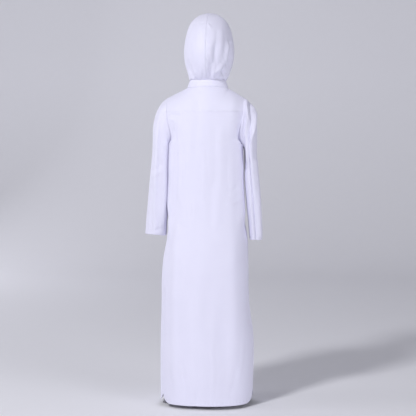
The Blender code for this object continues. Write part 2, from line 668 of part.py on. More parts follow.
def make_sleeve(side, cloth):
    grid = sleeve_grid(side)
    facing = grid - grid[:, :-1].mean(axis=1, keepdims=True)
    found = outward(grid, facing, tube=True)
    height = np.zeros(grid.shape[:2])
    for panel, way in (("back", 1.0), ("front", -1.0)):
        folds = fold_height(SLEEVE_FOLDS, f"{side} {panel}", grid[:, :, 0], grid[:, :, 2])
        height += folds * smooth_step(way * facing[:, :, 1], *FOLD_SLEEVE_FADE)
    height *= smooth_step(run_lengths(grid), *FOLD_ARMHOLE_FADE)
    grid = grid + found * height[:, :, None]
    grid[:, -1] = grid[:, 0]
    wall(f"sleeve_{side}", grid, grid - CLOTH * outward(grid, facing, tube=True), cloth, tube=True)


def make_collar(cloth):
    """A stand band, lapped at the front with its left end over its right one."""
    turns = np.linspace(180.0 + COLLAR_LAP_TURN, -180.0 + COLLAR_END_TURN, COLLAR_CELLS + 1)
    grid = np.array([neck_ring(turns, up) for up in (1.0, 0.5, 0.0)])
    grid[:, :, 2] += SEAM_GAP
    facing = grid - grid.mean(axis=(0, 1))
    step_out = COLLAR_LAP * smooth_step(turns, *COLLAR_STEP_TURNS)
    grid = grid + outward(grid, facing) * step_out[None, :, None]
    found = outward(grid, facing)
    wall("collar", grid, grid - COLLAR_CLOTH * found, cloth)
    place = int(np.argmin(np.abs(turns - 180.0)))
    return grid[1, place] + SEAM_GAP * found[1, place], found[1, place]


def hood_grid(way):
    """One half of the hood, from its front edge to the centre seam, which also runs over the crown."""
    steps = np.linspace(0.0, 1.0, HOOD_CELLS + 1)
    back_turn = (steps * np.pi / 2)[None, :]
    rise_turn = (steps * np.pi / 2)[:, None]
    run = np.sin(back_turn) * np.sqrt(1.0 - np.sin(rise_turn) ** 2 / 2)
    rise = np.sin(rise_turn) * np.sqrt(1.0 - np.sin(back_turn) ** 2 / 2)
    angle = np.arctan2(rise, np.maximum(run, 1e-9))
    square = HOOD_SQUARENESS
    swell = (np.abs(np.cos(angle)) ** square + np.abs(np.sin(angle)) ** square) ** (-1.0 / square)
    row_reach = np.sqrt(np.maximum(1.0 - rise**2, 1e-12))
    across = np.clip(run / row_reach, 0.0, 1.0)
    up = np.clip(rise * swell, 0.0, 1.0)
    depth_share = run * swell
    front = through(HOOD_SECTIONS, 2, up)
    back = through(HOOD_SECTIONS, 3, up)
    half = through(HOOD_SECTIONS, 1, np.clip(rise, 0.0, 1.0))
    pinch = 1.0 - HOOD_FRONT_PINCH * np.clip(1.0 - depth_share / HOOD_PINCH_REACH, 0.0, 1.0) ** 2
    x = half * np.sqrt(np.maximum(1.0 - across**2, 0.0)) * pinch
    y = front + (back - front) * depth_share
    z = COLLAR_HEIGHT + (HOOD_TOP_Z - COLLAR_HEIGHT) * up
    z -= HOOD_FRONT_DROP * np.clip(1.0 - depth_share / HOOD_DROP_REACH, 0.0, 1.0) ** 2 * up**2
    grid = np.stack([HOOD_CENTRE_X + way * x, y, z], axis=2)
    ring = neck_ring(way * HOOD_EDGE_ANGLE * (1.0 - steps), 1.0)
    ring[:, 2] += SEAM_GAP * 2
    blend = (1.0 - smooth_step(up, 0.0, HOOD_GATHER_SHARE))[:, :, None]
    return grid + (ring[None] - grid[0][None]) * blend


def hood_folded(grid):
    """The hood half with its folds, and its normals."""
    facing = grid - np.array([HOOD_CENTRE_X, 0.0, HOOD_MIDDLE_Z])
    height = fold_height(HOOD_FOLDS, "hood", grid[:, :, 0], grid[:, :, 2])
    height *= smooth_step(grid[:, :, 1], *FOLD_HOOD_FRONT_FADE)
    height *= smooth_step(grid[:, :, 2] - COLLAR_HEIGHT, *FOLD_HOOD_FOOT_FADE)
    height *= smooth_step(np.abs(grid[:, :, 0] - HOOD_CENTRE_X), *FOLD_HOOD_SEAM_FADE)
    grid = grid + outward(grid, facing) * height[:, :, None]
    return grid, outward(grid, facing)


def make_hood(side, cloth):
    way = 1.0 if side == "left" else -1.0
    grid, found = hood_folded(hood_grid(way))
    grid[-1, :, 0] += way * SEAM_GAP / 2
    grid[:-1, -1, 0] += way * SEAM_GAP / 2
    found[-1, :, 0] = 0.0
    found[:, -1, 0] = 0.0
    wall(f"hood_{side}", grid, grid - CLOTH * unit(found), cloth)


def main():
    for old in list(bpy.data.objects):
        bpy.data.objects.remove(old, do_unlink=True)
    cloth = surface("white_cotton", WHITE_CLOTH, CLOTH_ROUGHNESS)
    plastic = surface("white_button", BUTTON_WHITE, BUTTON_ROUGHNESS)
    make_back(cloth)
    make_front(cloth)
    make_yoke(cloth)
    over, found = make_plackets(cloth)
    make_buttons(over, found, make_collar(cloth), plastic)
    for side in ("left", "right"):
        make_sleeve(side, cloth)
        make_hood(side, cloth)


main()
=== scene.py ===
"""Looks of the hooded robe: fine cloth shells with folds, turned hems, seams and stitching.

Every cloth piece is a thin shell on the form of its solid: a grid of points on the same surface,
with the folds raised along its normals. Metres, +Z up, the front faces -Y.
"""

import math

import bmesh
import bpy
import numpy as np
from mathutils import Matrix, Vector


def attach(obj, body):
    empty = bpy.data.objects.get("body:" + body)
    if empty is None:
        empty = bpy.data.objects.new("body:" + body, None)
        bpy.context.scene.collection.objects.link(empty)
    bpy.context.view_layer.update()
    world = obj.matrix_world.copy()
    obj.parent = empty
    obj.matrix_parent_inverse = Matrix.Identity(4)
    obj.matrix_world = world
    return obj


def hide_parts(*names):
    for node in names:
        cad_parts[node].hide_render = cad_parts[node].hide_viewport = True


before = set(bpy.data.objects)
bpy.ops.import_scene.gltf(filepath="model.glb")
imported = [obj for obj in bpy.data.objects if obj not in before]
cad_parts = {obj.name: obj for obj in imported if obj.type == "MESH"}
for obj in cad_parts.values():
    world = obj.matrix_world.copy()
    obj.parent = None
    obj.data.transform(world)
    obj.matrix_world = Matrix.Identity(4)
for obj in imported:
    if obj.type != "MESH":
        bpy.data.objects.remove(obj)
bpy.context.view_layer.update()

# Sizes of the cut, as in the solids
HEM_Z = -1.049
SLIT_TOP_Z = -0.66
UNDERARM_Z = -0.190
YOKE_Z = -0.082
CENTRE_X = 0.003

# Side slits: how far each edge stands back at the hem, and the rounded corners' width and rise
SLIT_INSETS = {"back": -0.004, "front": -0.002}
SLIT_STEP = {"back": 0.0010, "front": -0.0014}
SLIT_STEP_REACH = (0.004, 0.024)
HEM_CORNERS = {
    ("back", "left"): (0.040, 0.036),
    ("back", "right"): (0.090, 0.058),
    ("front", "left"): (0.070, 0.050),
    ("front", "right"): (0.080, 0.056),
}

# Neck and collar: half widths in X and Y of the base and top rings, and the front drop
NECK_CENTRE = (-0.003, -0.005)
NECK_HALF = (0.0690, 0.0570)
COLLAR_TOP_HALF = (0.0600, 0.0510)
COLLAR_HEIGHT = 0.0245
NECK_FRONT_DROP = 0.028
NECK_DROP_POWER = 3.0
COLLAR_LAP = 0.0028
COLLAR_LAP_TURN = 22.0
COLLAR_END_TURN = 4.0
COLLAR_STEP_TURNS = (130.0, 172.0)

# Shoulders: the seam from the neck to the tip, and the way that the cloth takes to it, level and
# up. It runs over the seam at the shoulder, along the neck's ring beside it, and into the ring at
# the middle. The panels face outwards, and upwards by PANEL_FACING_UP.
SHOULDER_SEAM_Y = -0.010
SHOULDER_POINT = (0.1275, -0.036)
SHOULDER_SLOPE = 0.22
NECK_SIDE_WAY = (0.88, 0.47)
NECK_MIDDLE_WAYS = {"back": (0.68, 0.72), "front": (0.45, 0.90)}
NECK_WAY_REACH = 0.60
YOKE_LEAN = 0.10
PANEL_FACING_UP = 0.25

# Front opening
NECK_SLIT_DEPTH = 0.215
NECK_SLIT_COLUMNS = (0.4985, 0.5015)
FRONT_WIDTH = 0.40
PLACKET_HALF_WIDTH = 0.014
PLACKET_END = 0.018
PLACKET_TOP_SHARE = 0.94
PLACKET_UNDER_SHARE = 0.90
BUTTON_RADIUS = 0.0055
BUTTON_THICK = 0.0024
BUTTON_PLACES = (("button_1", 0.030), ("button_2", 0.095), ("button_3", 0.160))

# Body sections from the underarm to the hem: height, left and right edge, back and front depth,
# the squareness of the section, and how far the left side seam lies behind the widest point
BODY_SECTIONS = [
    # z,      left,   right,   back,   front,  square, seam
    (-0.190, 0.1210, -0.1150, 0.0970, -0.0920, 2.45, 0.000),
    (-0.260, 0.1225, -0.1165, 0.0955, -0.0945, 2.40, 0.000),
    (-0.340, 0.1235, -0.1190, 0.0930, -0.0975, 2.35, 0.004),
    (-0.430, 0.1255, -0.1240, 0.0975, -0.1010, 2.30, 0.022),
    (-0.500, 0.1330, -0.1360, 0.1040, -0.1050, 2.30, 0.044),
    (-0.576, 0.1470, -0.1395, 0.1090, -0.1090, 2.35, 0.064),
    (-0.720, 0.1520, -0.1420, 0.1140, -0.1140, 2.40, 0.074),
    (-0.860, 0.1555, -0.1560, 0.1200, -0.1200, 2.40, 0.076),
    (-0.960, 0.1555, -0.1570, 0.1260, -0.1250, 2.40, 0.076),
    (-1.050, 0.1540, -0.1550, 0.1310, -0.1290, 2.40, 0.076),
]

# Armhole edge of the back and front panels, from the underarm up to the yoke seam. The columns are
# evenly spaced from ARMHOLE_EVEN_UP upwards.
ARMHOLE_EVEN_UP = 0.6
ARMHOLE = [
    # up, half,   back edge, front edge, back middle, front middle, squareness
    (0.00, 0.1180, 0.0000, 0.0000, 0.0970, -0.0920, 2.45),
    (0.20, 0.1160, 0.0270, -0.0260, 0.0975, -0.0915, 2.44),
    (0.40, 0.1120, 0.0430, -0.0410, 0.0975, -0.0905, 2.38),
    (0.60, 0.1150, 0.0510, -0.0490, 0.0970, -0.0890, 2.26),
    (0.80, 0.1220, 0.0540, -0.0520, 0.0960, -0.0870, 2.14),
    (1.00, 0.1260, 0.0520, -0.0500, 0.0935, -0.0835, 2.06),
]

# Sleeve sections below the armhole: height of the middle, inner and outer edge, middle and half
# depth in Y, tilt of the ring's outer edge below its inner one
SLEEVE_SECTIONS = {
    "left": [
        # z,      inner,  outer,  middle_y, half_y, tilt
        (-0.226, 0.1300, 0.1830, 0.0040, 0.0560, 0.006),
        (-0.290, 0.1305, 0.1895, 0.0020, 0.0550, 0.004),
        (-0.350, 0.1320, 0.1960, -0.0020, 0.0530, 0.002),
        (-0.410, 0.1345, 0.2025, -0.0080, 0.0510, 0.000),
        (-0.455, 0.1385, 0.2065, -0.0150, 0.0485, -0.002),
        (-0.492, 0.1430, 0.2106, -0.0220, 0.0465, -0.002),
    ],
    "right": [
        (-0.226, -0.1245, -0.1685, 0.0040, 0.0600, 0.010),
        (-0.290, -0.1265, -0.1730, 0.0020, 0.0590, 0.006),
        (-0.350, -0.1300, -0.1785, -0.0020, 0.0570, 0.004),
        (-0.410, -0.1345, -0.1825, -0.0080, 0.0550, 0.003),
        (-0.460, -0.1390, -0.1845, -0.0150, 0.0530, 0.002),
        (-0.508, -0.1440, -0.1850, -0.0220, 0.0510, 0.001),
    ],
}
SLEEVE_SQUARENESS = 2.15

# The way that a sleeve leaves the armhole: outwards and its gain at the top, swing in Y, downwards
# and its loss at the top, and how far it is followed. Its way at the first section is measured
# over SLEEVE_WAY_STEP.
SLEEVE_OUT = (0.72, 0.12)
SLEEVE_SWING = 0.16
SLEEVE_DOWN = (-0.70, 0.16)
SLEEVE_REACH = 1.1
SLEEVE_WAY_STEP = 0.01

# Hood outline at rising heights: half width, front edge and back seam in Y
HOOD_SECTIONS = [
    # up,  half,   front,   back
    (0.00, 0.0610, -0.0400, 0.0480),
    (0.08, 0.0715, -0.0560, 0.0640),
    (0.20, 0.0830, -0.0740, 0.0810),
    (0.33, 0.0885, -0.0850, 0.0950),
    (0.46, 0.0885, -0.0920, 0.1030),
    (0.62, 0.0841, -0.0960, 0.1060),
    (0.74, 0.0770, -0.0980, 0.1050),
    (0.84, 0.0665, -0.0990, 0.1020),
    (0.92, 0.0495, -0.0990, 0.0980),
    (0.97, 0.0300, -0.0990, 0.0950),
    (1.00, 0.0000, -0.0990, 0.0930),
]
HOOD_TOP_Z = 0.2585
HOOD_CENTRE_X = -0.0045
HOOD_FRONT_DROP = 0.016
HOOD_DROP_REACH = 0.6
HOOD_SQUARENESS = 2.5
HOOD_FRONT_PINCH = 0.14
HOOD_PINCH_REACH = 0.45
HOOD_EDGE_ANGLE = 132.0
HOOD_GATHER_SHARE = 0.16
HOOD_MIDDLE_Z = 0.12

# Folds: soft ridges (+) and troughs (-) along a short line in (x, z). The panel tells which side
# the fold is on. A fold reaches further along the cloth than across it, by the root of FOLD_ALONG.
FOLD_ALONG = 0.12
BODY_FOLDS = [
    # panel,  height,   width,  line
    ("back", -0.0018, 0.0130, [(0.022, -0.045), (0.024, -0.105), (0.030, -0.200)]),
    ("back", -0.0020, 0.0130, [(-0.036, -0.170), (-0.036, -0.293), (-0.024, -0.330), (-0.024, -0.430)]),
    ("back", 0.0014, 0.0130, [(-0.056, -0.165), (-0.056, -0.300), (-0.044, -0.420)]),
    ("back", -0.0030, 0.0070, [(0.104, -0.150), (0.101, -0.300), (0.106, -0.385), (0.116, -0.430)]),
    ("back", 0.0090, 0.0110, [(0.115, -0.180), (0.115, -0.300), (0.118, -0.400), (0.124, -0.465)]),
    ("back", 0.0100, 0.0110, [(-0.110, -0.180), (-0.112, -0.300), (-0.117, -0.420)]),
    ("back", 0.0048, 0.0200, [(-0.092, -0.045), (-0.092, -0.110), (-0.094, -0.400)]),
    ("back", 0.0028, 0.0090, [(0.088, -0.140), (0.085, -0.260), (0.089, -0.345)]),
    ("back", 0.0042, 0.0180, [(0.098, -0.490), (0.097, -0.620), (0.099, -0.800), (0.096, -0.960)]),
    ("back", -0.0040, 0.0240, [(0.058, -0.740), (0.054, -0.860), (0.046, -0.940), (0.030, -1.020)]),
    ("back", 0.0020, 0.0230, [(0.018, -0.660), (0.010, -0.820), (-0.004, -0.980)]),
    ("back", 0.0040, 0.0200, [(-0.092, -0.540), (-0.096, -0.720), (-0.100, -0.880)]),
    ("back", -0.0030, 0.0220, [(-0.060, -0.800), (-0.078, -0.920), (-0.066, -0.990)]),
    ("front", -0.0050, 0.0130, [(0.050, -0.120), (0.046, -0.240), (0.056, -0.380)]),
    ("front", -0.0050, 0.0120, [(-0.056, -0.130), (-0.050, -0.250), (-0.060, -0.400)]),
    ("front", 0.0070, 0.0200, [(0.090, -0.470), (0.094, -0.700), (0.088, -0.960)]),
    ("front", -0.0080, 0.0220, [(0.050, -0.600), (0.054, -0.820), (0.038, -1.000)]),
    ("front", 0.0050, 0.0220, [(0.004, -0.620), (-0.002, -0.820), (0.006, -0.990)]),
    ("front", -0.0080, 0.0220, [(-0.048, -0.560), (-0.054, -0.800), (-0.046, -0.980)]),
    ("front", 0.0070, 0.0190, [(-0.096, -0.520), (-0.098, -0.760), (-0.104, -0.940)]),
]
SMALL_BODY_FOLDS = [
    ("back", -0.0012, 0.0050, [(0.108, -0.090), (0.096, -0.093), (0.084, -0.094)]),
    ("back", 0.0016, 0.0050, [(0.116, -0.106), (0.102, -0.110)]),
    ("back", -0.0010, 0.0045, [(-0.104, -0.112), (-0.090, -0.118)]),
    ("back", -0.0018, 0.0055, [(0.108, -0.300), (0.110, -0.385), (0.116, -0.425), (0.128, -0.440)]),
    ("back", 0.0020, 0.0060, [(0.124, -0.372), (0.120, -0.400), (0.122, -0.440), (0.128, -0.462)]),
    ("back", -0.0015, 0.0060, [(0.049, -0.385), (0.046, -0.420)]),
    ("back", -0.0012, 0.0055, [(0.074, -0.215), (0.070, -0.262), (0.076, -0.300)]),
    ("back", 0.0012, 0.0060, [(0.002, -0.215), (-0.002, -0.290), (0.006, -0.360)]),
    ("back", -0.0010, 0.0050, [(-0.076, -0.240), (-0.074, -0.300), (-0.080, -0.350)]),
    ("back", -0.0014, 0.0045, [(-0.100, -0.330), (-0.088, -0.346), (-0.070, -0.350)]),
    ("back", 0.0012, 0.0050, [(-0.108, -0.372), (-0.092, -0.384), (-0.076, -0.384)]),
    ("back", -0.0010, 0.0050, [(0.086, -0.452), (0.062, -0.462), (0.044, -0.460)]),
    ("back", -0.0018, 0.0040, [(0.024, -1.000), (0.023, -1.036)]),
    ("back", 0.0014, 0.0060, [(0.072, -0.905), (0.066, -0.955), (0.054, -1.000)]),
    ("back", -0.0014, 0.0060, [(0.118, -0.880), (0.114, -0.940), (0.106, -0.985)]),
    ("back", 0.0014, 0.0070, [(-0.028, -0.860), (-0.034, -0.930), (-0.028, -1.010)]),
    ("back", -0.0012, 0.0060, [(-0.104, -0.935), (-0.098, -0.980), (-0.088, -1.010)]),
    ("back", 0.0014, 0.0065, [(-0.128, -0.840), (-0.124, -0.905), (-0.116, -0.955)]),
    ("front", -0.0022, 0.0060, [(0.104, -0.110), (0.086, -0.150), (0.070, -0.176)]),
    ("front", 0.0018, 0.0060, [(0.106, -0.138), (0.090, -0.176), (0.078, -0.210)]),
    ("front", -0.0022, 0.0060, [(-0.100, -0.106), (-0.084, -0.148), (-0.066, -0.178)]),
    ("front", 0.0018, 0.0060, [(-0.102, -0.140), (-0.088, -0.180), (-0.074, -0.216)]),
    ("front", -0.0016, 0.0060, [(0.030, -0.262), (0.042, -0.330), (0.040, -0.400)]),
    ("front", 0.0016, 0.0060, [(-0.026, -0.268), (-0.036, -0.340), (-0.030, -0.420)]),
    ("front", -0.0014, 0.0050, [(0.090, -0.380), (0.070, -0.394), (0.050, -0.396)]),
    ("front", -0.0014, 0.0050, [(-0.092, -0.404), (-0.066, -0.418), (-0.044, -0.414)]),
    ("front", -0.0018, 0.0070, [(0.112, -0.680), (0.114, -0.800), (0.110, -0.905)]),
    ("front", 0.0018, 0.0070, [(0.030, -0.860), (0.026, -0.935), (0.030, -1.010)]),
    ("front", 0.0018, 0.0070, [(-0.074, -0.840), (-0.070, -0.925), (-0.074, -1.010)]),
    ("front", -0.0018, 0.0060, [(-0.120, -0.760), (-0.118, -0.860), (-0.112, -0.935)]),
]
SLEEVE_FOLDS = [
    # panel,        height,   width,  line
    (
        "right back", -0.0045, 0.0045,
        [(-0.124, -0.060), (-0.127, -0.118), (-0.124, -0.148), (-0.127, -0.237), (-0.131, -0.267)],
    ),
    ("right back", 0.0075, 0.0040, [(-0.131, -0.050), (-0.140, -0.105), (-0.132, -0.155)]),
    ("right back", 0.0050, 0.0040, [(-0.139, -0.145), (-0.137, -0.171), (-0.139, -0.237)]),
    (
        "right back", -0.0060, 0.0045,
        [(-0.143, -0.055), (-0.1536, -0.105), (-0.145, -0.171), (-0.144, -0.240)],
    ),
    ("right back", 0.0075, 0.0042, [(-0.1506, -0.050), (-0.162, -0.080), (-0.163, -0.120), (-0.152, -0.171)]),
    ("right back", -0.0120, 0.0085, [(-0.145, -0.265), (-0.152, -0.335), (-0.165, -0.436), (-0.169, -0.500)]),
    (
        "right back", 0.0050, 0.0042,
        [(-0.166, -0.250), (-0.1740, -0.340), (-0.1790, -0.436), (-0.1810, -0.490)],
    ),
    ("right back", -0.0014, 0.0045, [(-0.140, -0.268), (-0.152, -0.280), (-0.164, -0.282)]),
    ("right back", 0.0012, 0.0045, [(-0.142, -0.296), (-0.154, -0.306), (-0.166, -0.308)]),
    ("right front", -0.0050, 0.0060, [(-0.134, -0.070), (-0.142, -0.130), (-0.138, -0.210)]),
    ("right front", 0.0045, 0.0060, [(-0.150, -0.070), (-0.156, -0.120), (-0.150, -0.200)]),
    ("right front", -0.0045, 0.0070, [(-0.150, -0.280), (-0.156, -0.380), (-0.162, -0.470)]),
    ("right front", -0.0022, 0.0045, [(-0.136, -0.252), (-0.150, -0.268), (-0.166, -0.270)]),
    ("right front", 0.0018, 0.0045, [(-0.138, -0.272), (-0.152, -0.290), (-0.168, -0.292)]),
    ("left back", 0.0090, 0.0090, [(0.134, -0.200), (0.137, -0.330), (0.143, -0.420), (0.149, -0.485)]),
    ("left back", -0.0020, 0.0060, [(0.148, -0.120), (0.152, -0.220), (0.158, -0.330)]),
    ("left back", 0.0035, 0.0070, [(0.160, -0.160), (0.166, -0.290), (0.174, -0.400)]),
    ("left back", -0.0035, 0.0070, [(0.176, -0.340), (0.180, -0.420), (0.184, -0.480)]),
    ("left back", -0.0014, 0.0050, [(0.146, -0.256), (0.160, -0.270), (0.174, -0.274)]),
    ("left back", 0.0012, 0.0050, [(0.150, -0.280), (0.164, -0.292), (0.178, -0.296)]),
    ("left back", -0.0022, 0.0060, [(0.158, -0.472), (0.166, -0.476)]),
    ("left front", -0.0050, 0.0070, [(0.142, -0.080), (0.148, -0.160), (0.150, -0.260)]),
    ("left front", 0.0040, 0.0070, [(0.160, -0.120), (0.166, -0.250), (0.172, -0.350)]),
    ("left front", -0.0022, 0.0050, [(0.140, -0.262), (0.156, -0.278), (0.174, -0.280)]),
    ("left front", 0.0018, 0.0050, [(0.144, -0.286), (0.160, -0.300), (0.178, -0.302)]),
]
HOOD_FOLDS = [
    # panel, height,  width,  line
    (
        "hood", 0.0085, 0.0068,
        [
            (-0.0730, 0.1300), (-0.0680, 0.0975), (-0.0620, 0.0740),
            (-0.0460, 0.0540), (-0.0290, 0.0400), (-0.0220, 0.0240),
        ],
    ),
    (
        "hood", 0.0055, 0.0048,
        [
            (-0.0809, 0.1520), (-0.0850, 0.1254), (-0.0860, 0.0963),
            (-0.0789, 0.0731), (-0.0712, 0.0437), (-0.0535, 0.0244),
        ],
    ),
    (
        "hood", -0.0085, 0.0058,
        [(-0.0790, 0.1387), (-0.0785, 0.1154), (-0.0740, 0.0868), (-0.0570, 0.0574), (-0.0310, 0.0345)],
    ),
    ("hood", -0.0055, 0.0100, [(-0.036, 0.116), (-0.034, 0.090), (-0.024, 0.064), (-0.013, 0.045)]),
    ("hood", 0.0035, 0.0070, [(0.0547, 0.096), (0.0451, 0.0717), (0.0315, 0.0418), (0.0258, 0.0241)]),
    ("hood", -0.0035, 0.0060, [(0.060, 0.074), (0.044, 0.036)]),
    ("hood", -0.0016, 0.0032, [(0.016, 0.209), (0.000, 0.211), (-0.014, 0.209)]),
    ("hood", 0.0022, 0.0060, [(-0.011, 0.200), (-0.016, 0.196)]),
    ("hood", -0.0018, 0.0040, [(0.026, 0.046), (0.022, 0.030)]),
    ("hood", 0.0016, 0.0035, [(0.014, 0.050), (0.012, 0.030)]),
    ("hood", -0.0016, 0.0035, [(-0.030, 0.050), (-0.030, 0.030)]),
    ("hood", -0.0014, 0.0060, [(-0.038, 0.175), (-0.040, 0.140), (-0.036, 0.105)]),
    ("hood", 0.0012, 0.0060, [(-0.052, 0.180), (-0.056, 0.150), (-0.054, 0.125)]),
    ("hood", 0.0010, 0.0060, [(0.040, 0.130), (0.036, 0.090)]),
]

# Small gathers of the hood over the collar: place along the seam from its back, height, width and
# length up the hood
HOOD_GATHERS = [
    # place,  height,  width,  length
    (0.012, -0.0010, 0.0028, 0.016),
    (0.024, 0.0012, 0.0032, 0.022),
    (0.037, -0.0014, 0.0030, 0.018),
    (0.049, 0.0013, 0.0036, 0.026),
    (0.063, -0.0012, 0.0032, 0.020),
    (0.078, 0.0010, 0.0034, 0.018),
    (0.094, -0.0010, 0.0032, 0.014),
]
GATHER_FADE = 1.6

# Where the folds fade out: near the neck, near a panel's side edges, near an armhole, near the
# hood's front, foot and seam, and where a sleeve turns from back to front
FOLD_NECK_FADE = (0.012, 0.060)
FOLD_EDGE_FADE = (0.001, 0.020)
FOLD_ARMHOLE_FADE = (0.0, 0.012)
FOLD_SLEEVE_FADE = (-0.004, 0.010)
FOLD_HOOD_FRONT_FADE = (-0.030, 0.006)
FOLD_HOOD_FOOT_FADE = (0.0, 0.014)
FOLD_HOOD_SEAM_FADE = (0.0, 0.012)

# The slight unevenness of worn cloth: long waves as turns per metre in X, Y and Z, start, share
WAVER = [
    (11.3, 4.9, 3.7, 0.0, 1.0),
    (6.8, 3.0, -5.9, 1.3, 0.8),
    (18.8, -9.1, 1.8, 2.1, 0.5),
    (4.6, 1.7, 13.2, 0.7, 0.4),
    (-14.3, 7.7, 8.1, 3.9, 0.4),
]
BODY_WAVER = 0.00030
SLEEVE_WAVER = 0.00030
HOOD_WAVER = 0.00030

# Cloth: thicknesses, hem widths, the places of the stitch lines and the gaps at seams
CLOTH = 0.0007
COLLAR_CLOTH = 0.0016
PLACKET_CLOTH = 0.0009
HEM_WIDTH = 0.0125
CUFF_HEM_WIDTH = 0.045
HOOD_HEM_WIDTH = 0.018
STITCH_INSET = 0.0016
YOKE_STITCH = 0.0028
COLLAR_STITCH = 0.0022
PLACKET_STITCH = 0.0020
PLACKET_LIFT = 0.0012
PLACKET_DROP = 0.0011
SEAM_GAP = 0.0002
HOOD_SEAM_GAP = 0.0002
HOOD_FOOT_GAP = 0.0001

# Relief of sewn cloth. A dip is (height, width), a swell is (height, place, width) and ripples are
# (height, pitch, length over which the pitch wanders, reach). RIPPLE_SWAY is how far it wanders.
SEAM_DIP = (-0.00015, 0.0012)
SEAM_SWELL = (0.00020, 0.0045, 0.0030)
HEM_LIFT = 0.00045
HEM_STEP = (-0.0004, 0.0012)
STITCH_DIP = (-0.00050, 0.0011)
HEM_ROLL = (-0.00030, 0.0008)
RIPPLE = (0.00035, 0.0137, 0.093, 0.009)
RIPPLE_SWAY = 1.7
YOKE_RIPPLE = (0.00030, 0.0190, 0.110, 0.008)
YOKE_DIP = (-0.00015, 0.0010)
YOKE_RISE = (0.00120, 0.0036)
BACK_TOP_RISE = (0.00120, 0.0150)
HOOD_RIPPLE = (0.00035, 0.0170, 0.080, 0.004)
HOOD_SEAM_DIP = (-0.00055, 0.0014)
HOOD_SEAM_SWELL = (0.00090, 0.0050, 0.0030)
COLLAR_SWELL = (0.00050, 0.0075, 0.0045)
COLLAR_DIP = (-0.00040, 0.0011)
COLLAR_ROLL = (-0.00020, 0.0012)
COLLAR_RIPPLE = (0.00035, 0.0470, 0.160, 0.012)
PLACKET_DIP = (-0.00050, 0.0010)
PLACKET_SWELL = (0.00030, 0.0045, 0.0020)
SLIT_START = (0.004, 0.016)
CORNER_FREE = (0.8, 1.4)

# Stitches and buttons
STITCH_PITCH = 0.0030
STITCH_LENGTH = 0.0022
THREAD_RADIUS = 0.00024
THREAD_SUNK = 0.35
THREAD_SIDES = 5
BUTTON_PROFILE = [
    # radius share, height share
    (0.00, 0.62),
    (0.58, 0.64),
    (0.68, 0.90),
    (0.80, 1.00),
    (0.93, 0.92),
    (1.00, 0.62),
    (0.95, 0.25),
    (0.80, 0.00),
    (0.00, 0.00),
]
BUTTON_STEPS = 40
BUTTON_LIFT = 0.0002
BUTTON_SHARP = 0.6
HOLE_PLACE = 0.0013
HOLE_RADIUS = 0.0007
HOLE_SIDES = 12
CROSS_RADIUS = 0.00035
CROSS_HEIGHT = 0.66
CROSS_SIDES = 8

# Fineness of the grids
NECK_SHARE = 0.25
SHOULDER_COLUMNS = 38
NECK_COLUMNS = 52
EVEN_COLUMNS = 0.22
CURVE_STEPS = 721
SEAM_SPARE = 1.2
FINE_SHARE = 0.05
FINE_ROWS = 7
COLLAR_EDGE_SHARE = 0.15
YOKE_ROWS = 30
UPPER_ROWS = 34
BODY_ROWS = 118
SLIT_ROWS = 74
HEM_ROWS = 18
HEM_BAND = 0.020
PLACKET_COLUMNS = 28
PLACKET_ROWS = (33, 34, 24)
LOOP_STEPS = 60
SLEEVE_COLUMNS = 112
SLEEVE_CAP_ROWS = 40
SLEEVE_ROWS = (51, 10, 11, 3)
CUFF_BAND = 0.006
CUFF_EDGE = 0.003
HOOD_CELLS = 84
HOOD_STITCH_ROWS = 78
COLLAR_CELLS = 240
COLLAR_MIDDLE_ROWS = 10
MERGE_DISTANCE = 1e-6
TINY = 1e-12

# Studio
CAMERA_AZIMUTH = 185.0
CAMERA_DISTANCE = 4.30
CAMERA_Z = -0.15
CAMERA_TARGET = (-0.004, 0.0, -0.403)
PICTURE_WIDTH = 1.396
FLOOR_DROP = 0.012
SWEEP_FRONT_Y = 6.0
SWEEP_BACK_Y = -3.8
SWEEP_BEND = 1.3
SWEEP_BEND_STEPS = 12
SWEEP_TOP = 6.0
SWEEP_HALF_WIDTH = 12.0
WORLD_COLOUR = "#ECECF6"
WORLD_STRENGTH = 0.27
LIGHTS = [
    # name,       place,             target,             size,       watts, colour
    ("key", (2.08, 3.56, 3.2), (0.0, 0.0, -0.4), (0.7, 0.7), 158.0, "#FAFAFF"),
    ("fill", (-4.0, 3.7, 0.2), (0.0, 0.0, -0.4), (2.4, 1.6), 96.0, "#F6F6FF"),
    ("side", (5.6, 1.1, 0.5), (0.0, 0.0, -0.3), (1.8, 1.4), 62.0, "#F6F6FF"),
    ("front", (3.0, -3.8, 0.3), (0.0, 0.0, -0.2), (1.6, 1.2), 28.0, "#F6F6FF"),
]


def smooth_step(value, start, end):
    share = np.clip((np.asarray(value, float) - start) / (end - start), 0.0, 1.0)
    return share * share * (3.0 - 2.0 * share)


def through(rows, column, at):
    """Reads a table's column on a smooth curve through its rows. The first column is the place."""
    rows = np.array(rows, float)
    place, value = rows[:, 0], rows[:, column]
    if place[0] > place[-1]:
        place, value = place[::-1], value[::-1]
    slope = np.gradient(value, place)
    at = np.clip(np.asarray(at, float), place[0], place[-1])
    index = np.clip(np.searchsorted(place, at, side="right") - 1, 0, len(place) - 2)
    width = place[index + 1] - place[index]
    share = (at - place[index]) / width
    rest = 1.0 - share
    return (
        value[index] * rest * rest * (1.0 + 2.0 * share)
        + value[index + 1] * share * share * (3.0 - 2.0 * share)
        + width * share * rest * (rest * slope[index] - share * slope[index + 1])
    )


def run_lengths(points):
    """Lengths from the first row of points to each row."""
    steps = np.linalg.norm(np.diff(points, axis=0), axis=-1)
    return np.concatenate([np.zeros_like(steps[:1]), np.cumsum(steps, axis=0)])


def points_at(points, lengths, at):
    """Points of a polyline at the given lengths from its start."""
    return np.stack([np.interp(at, lengths, points[:, axis]) for axis in range(3)], axis=1)


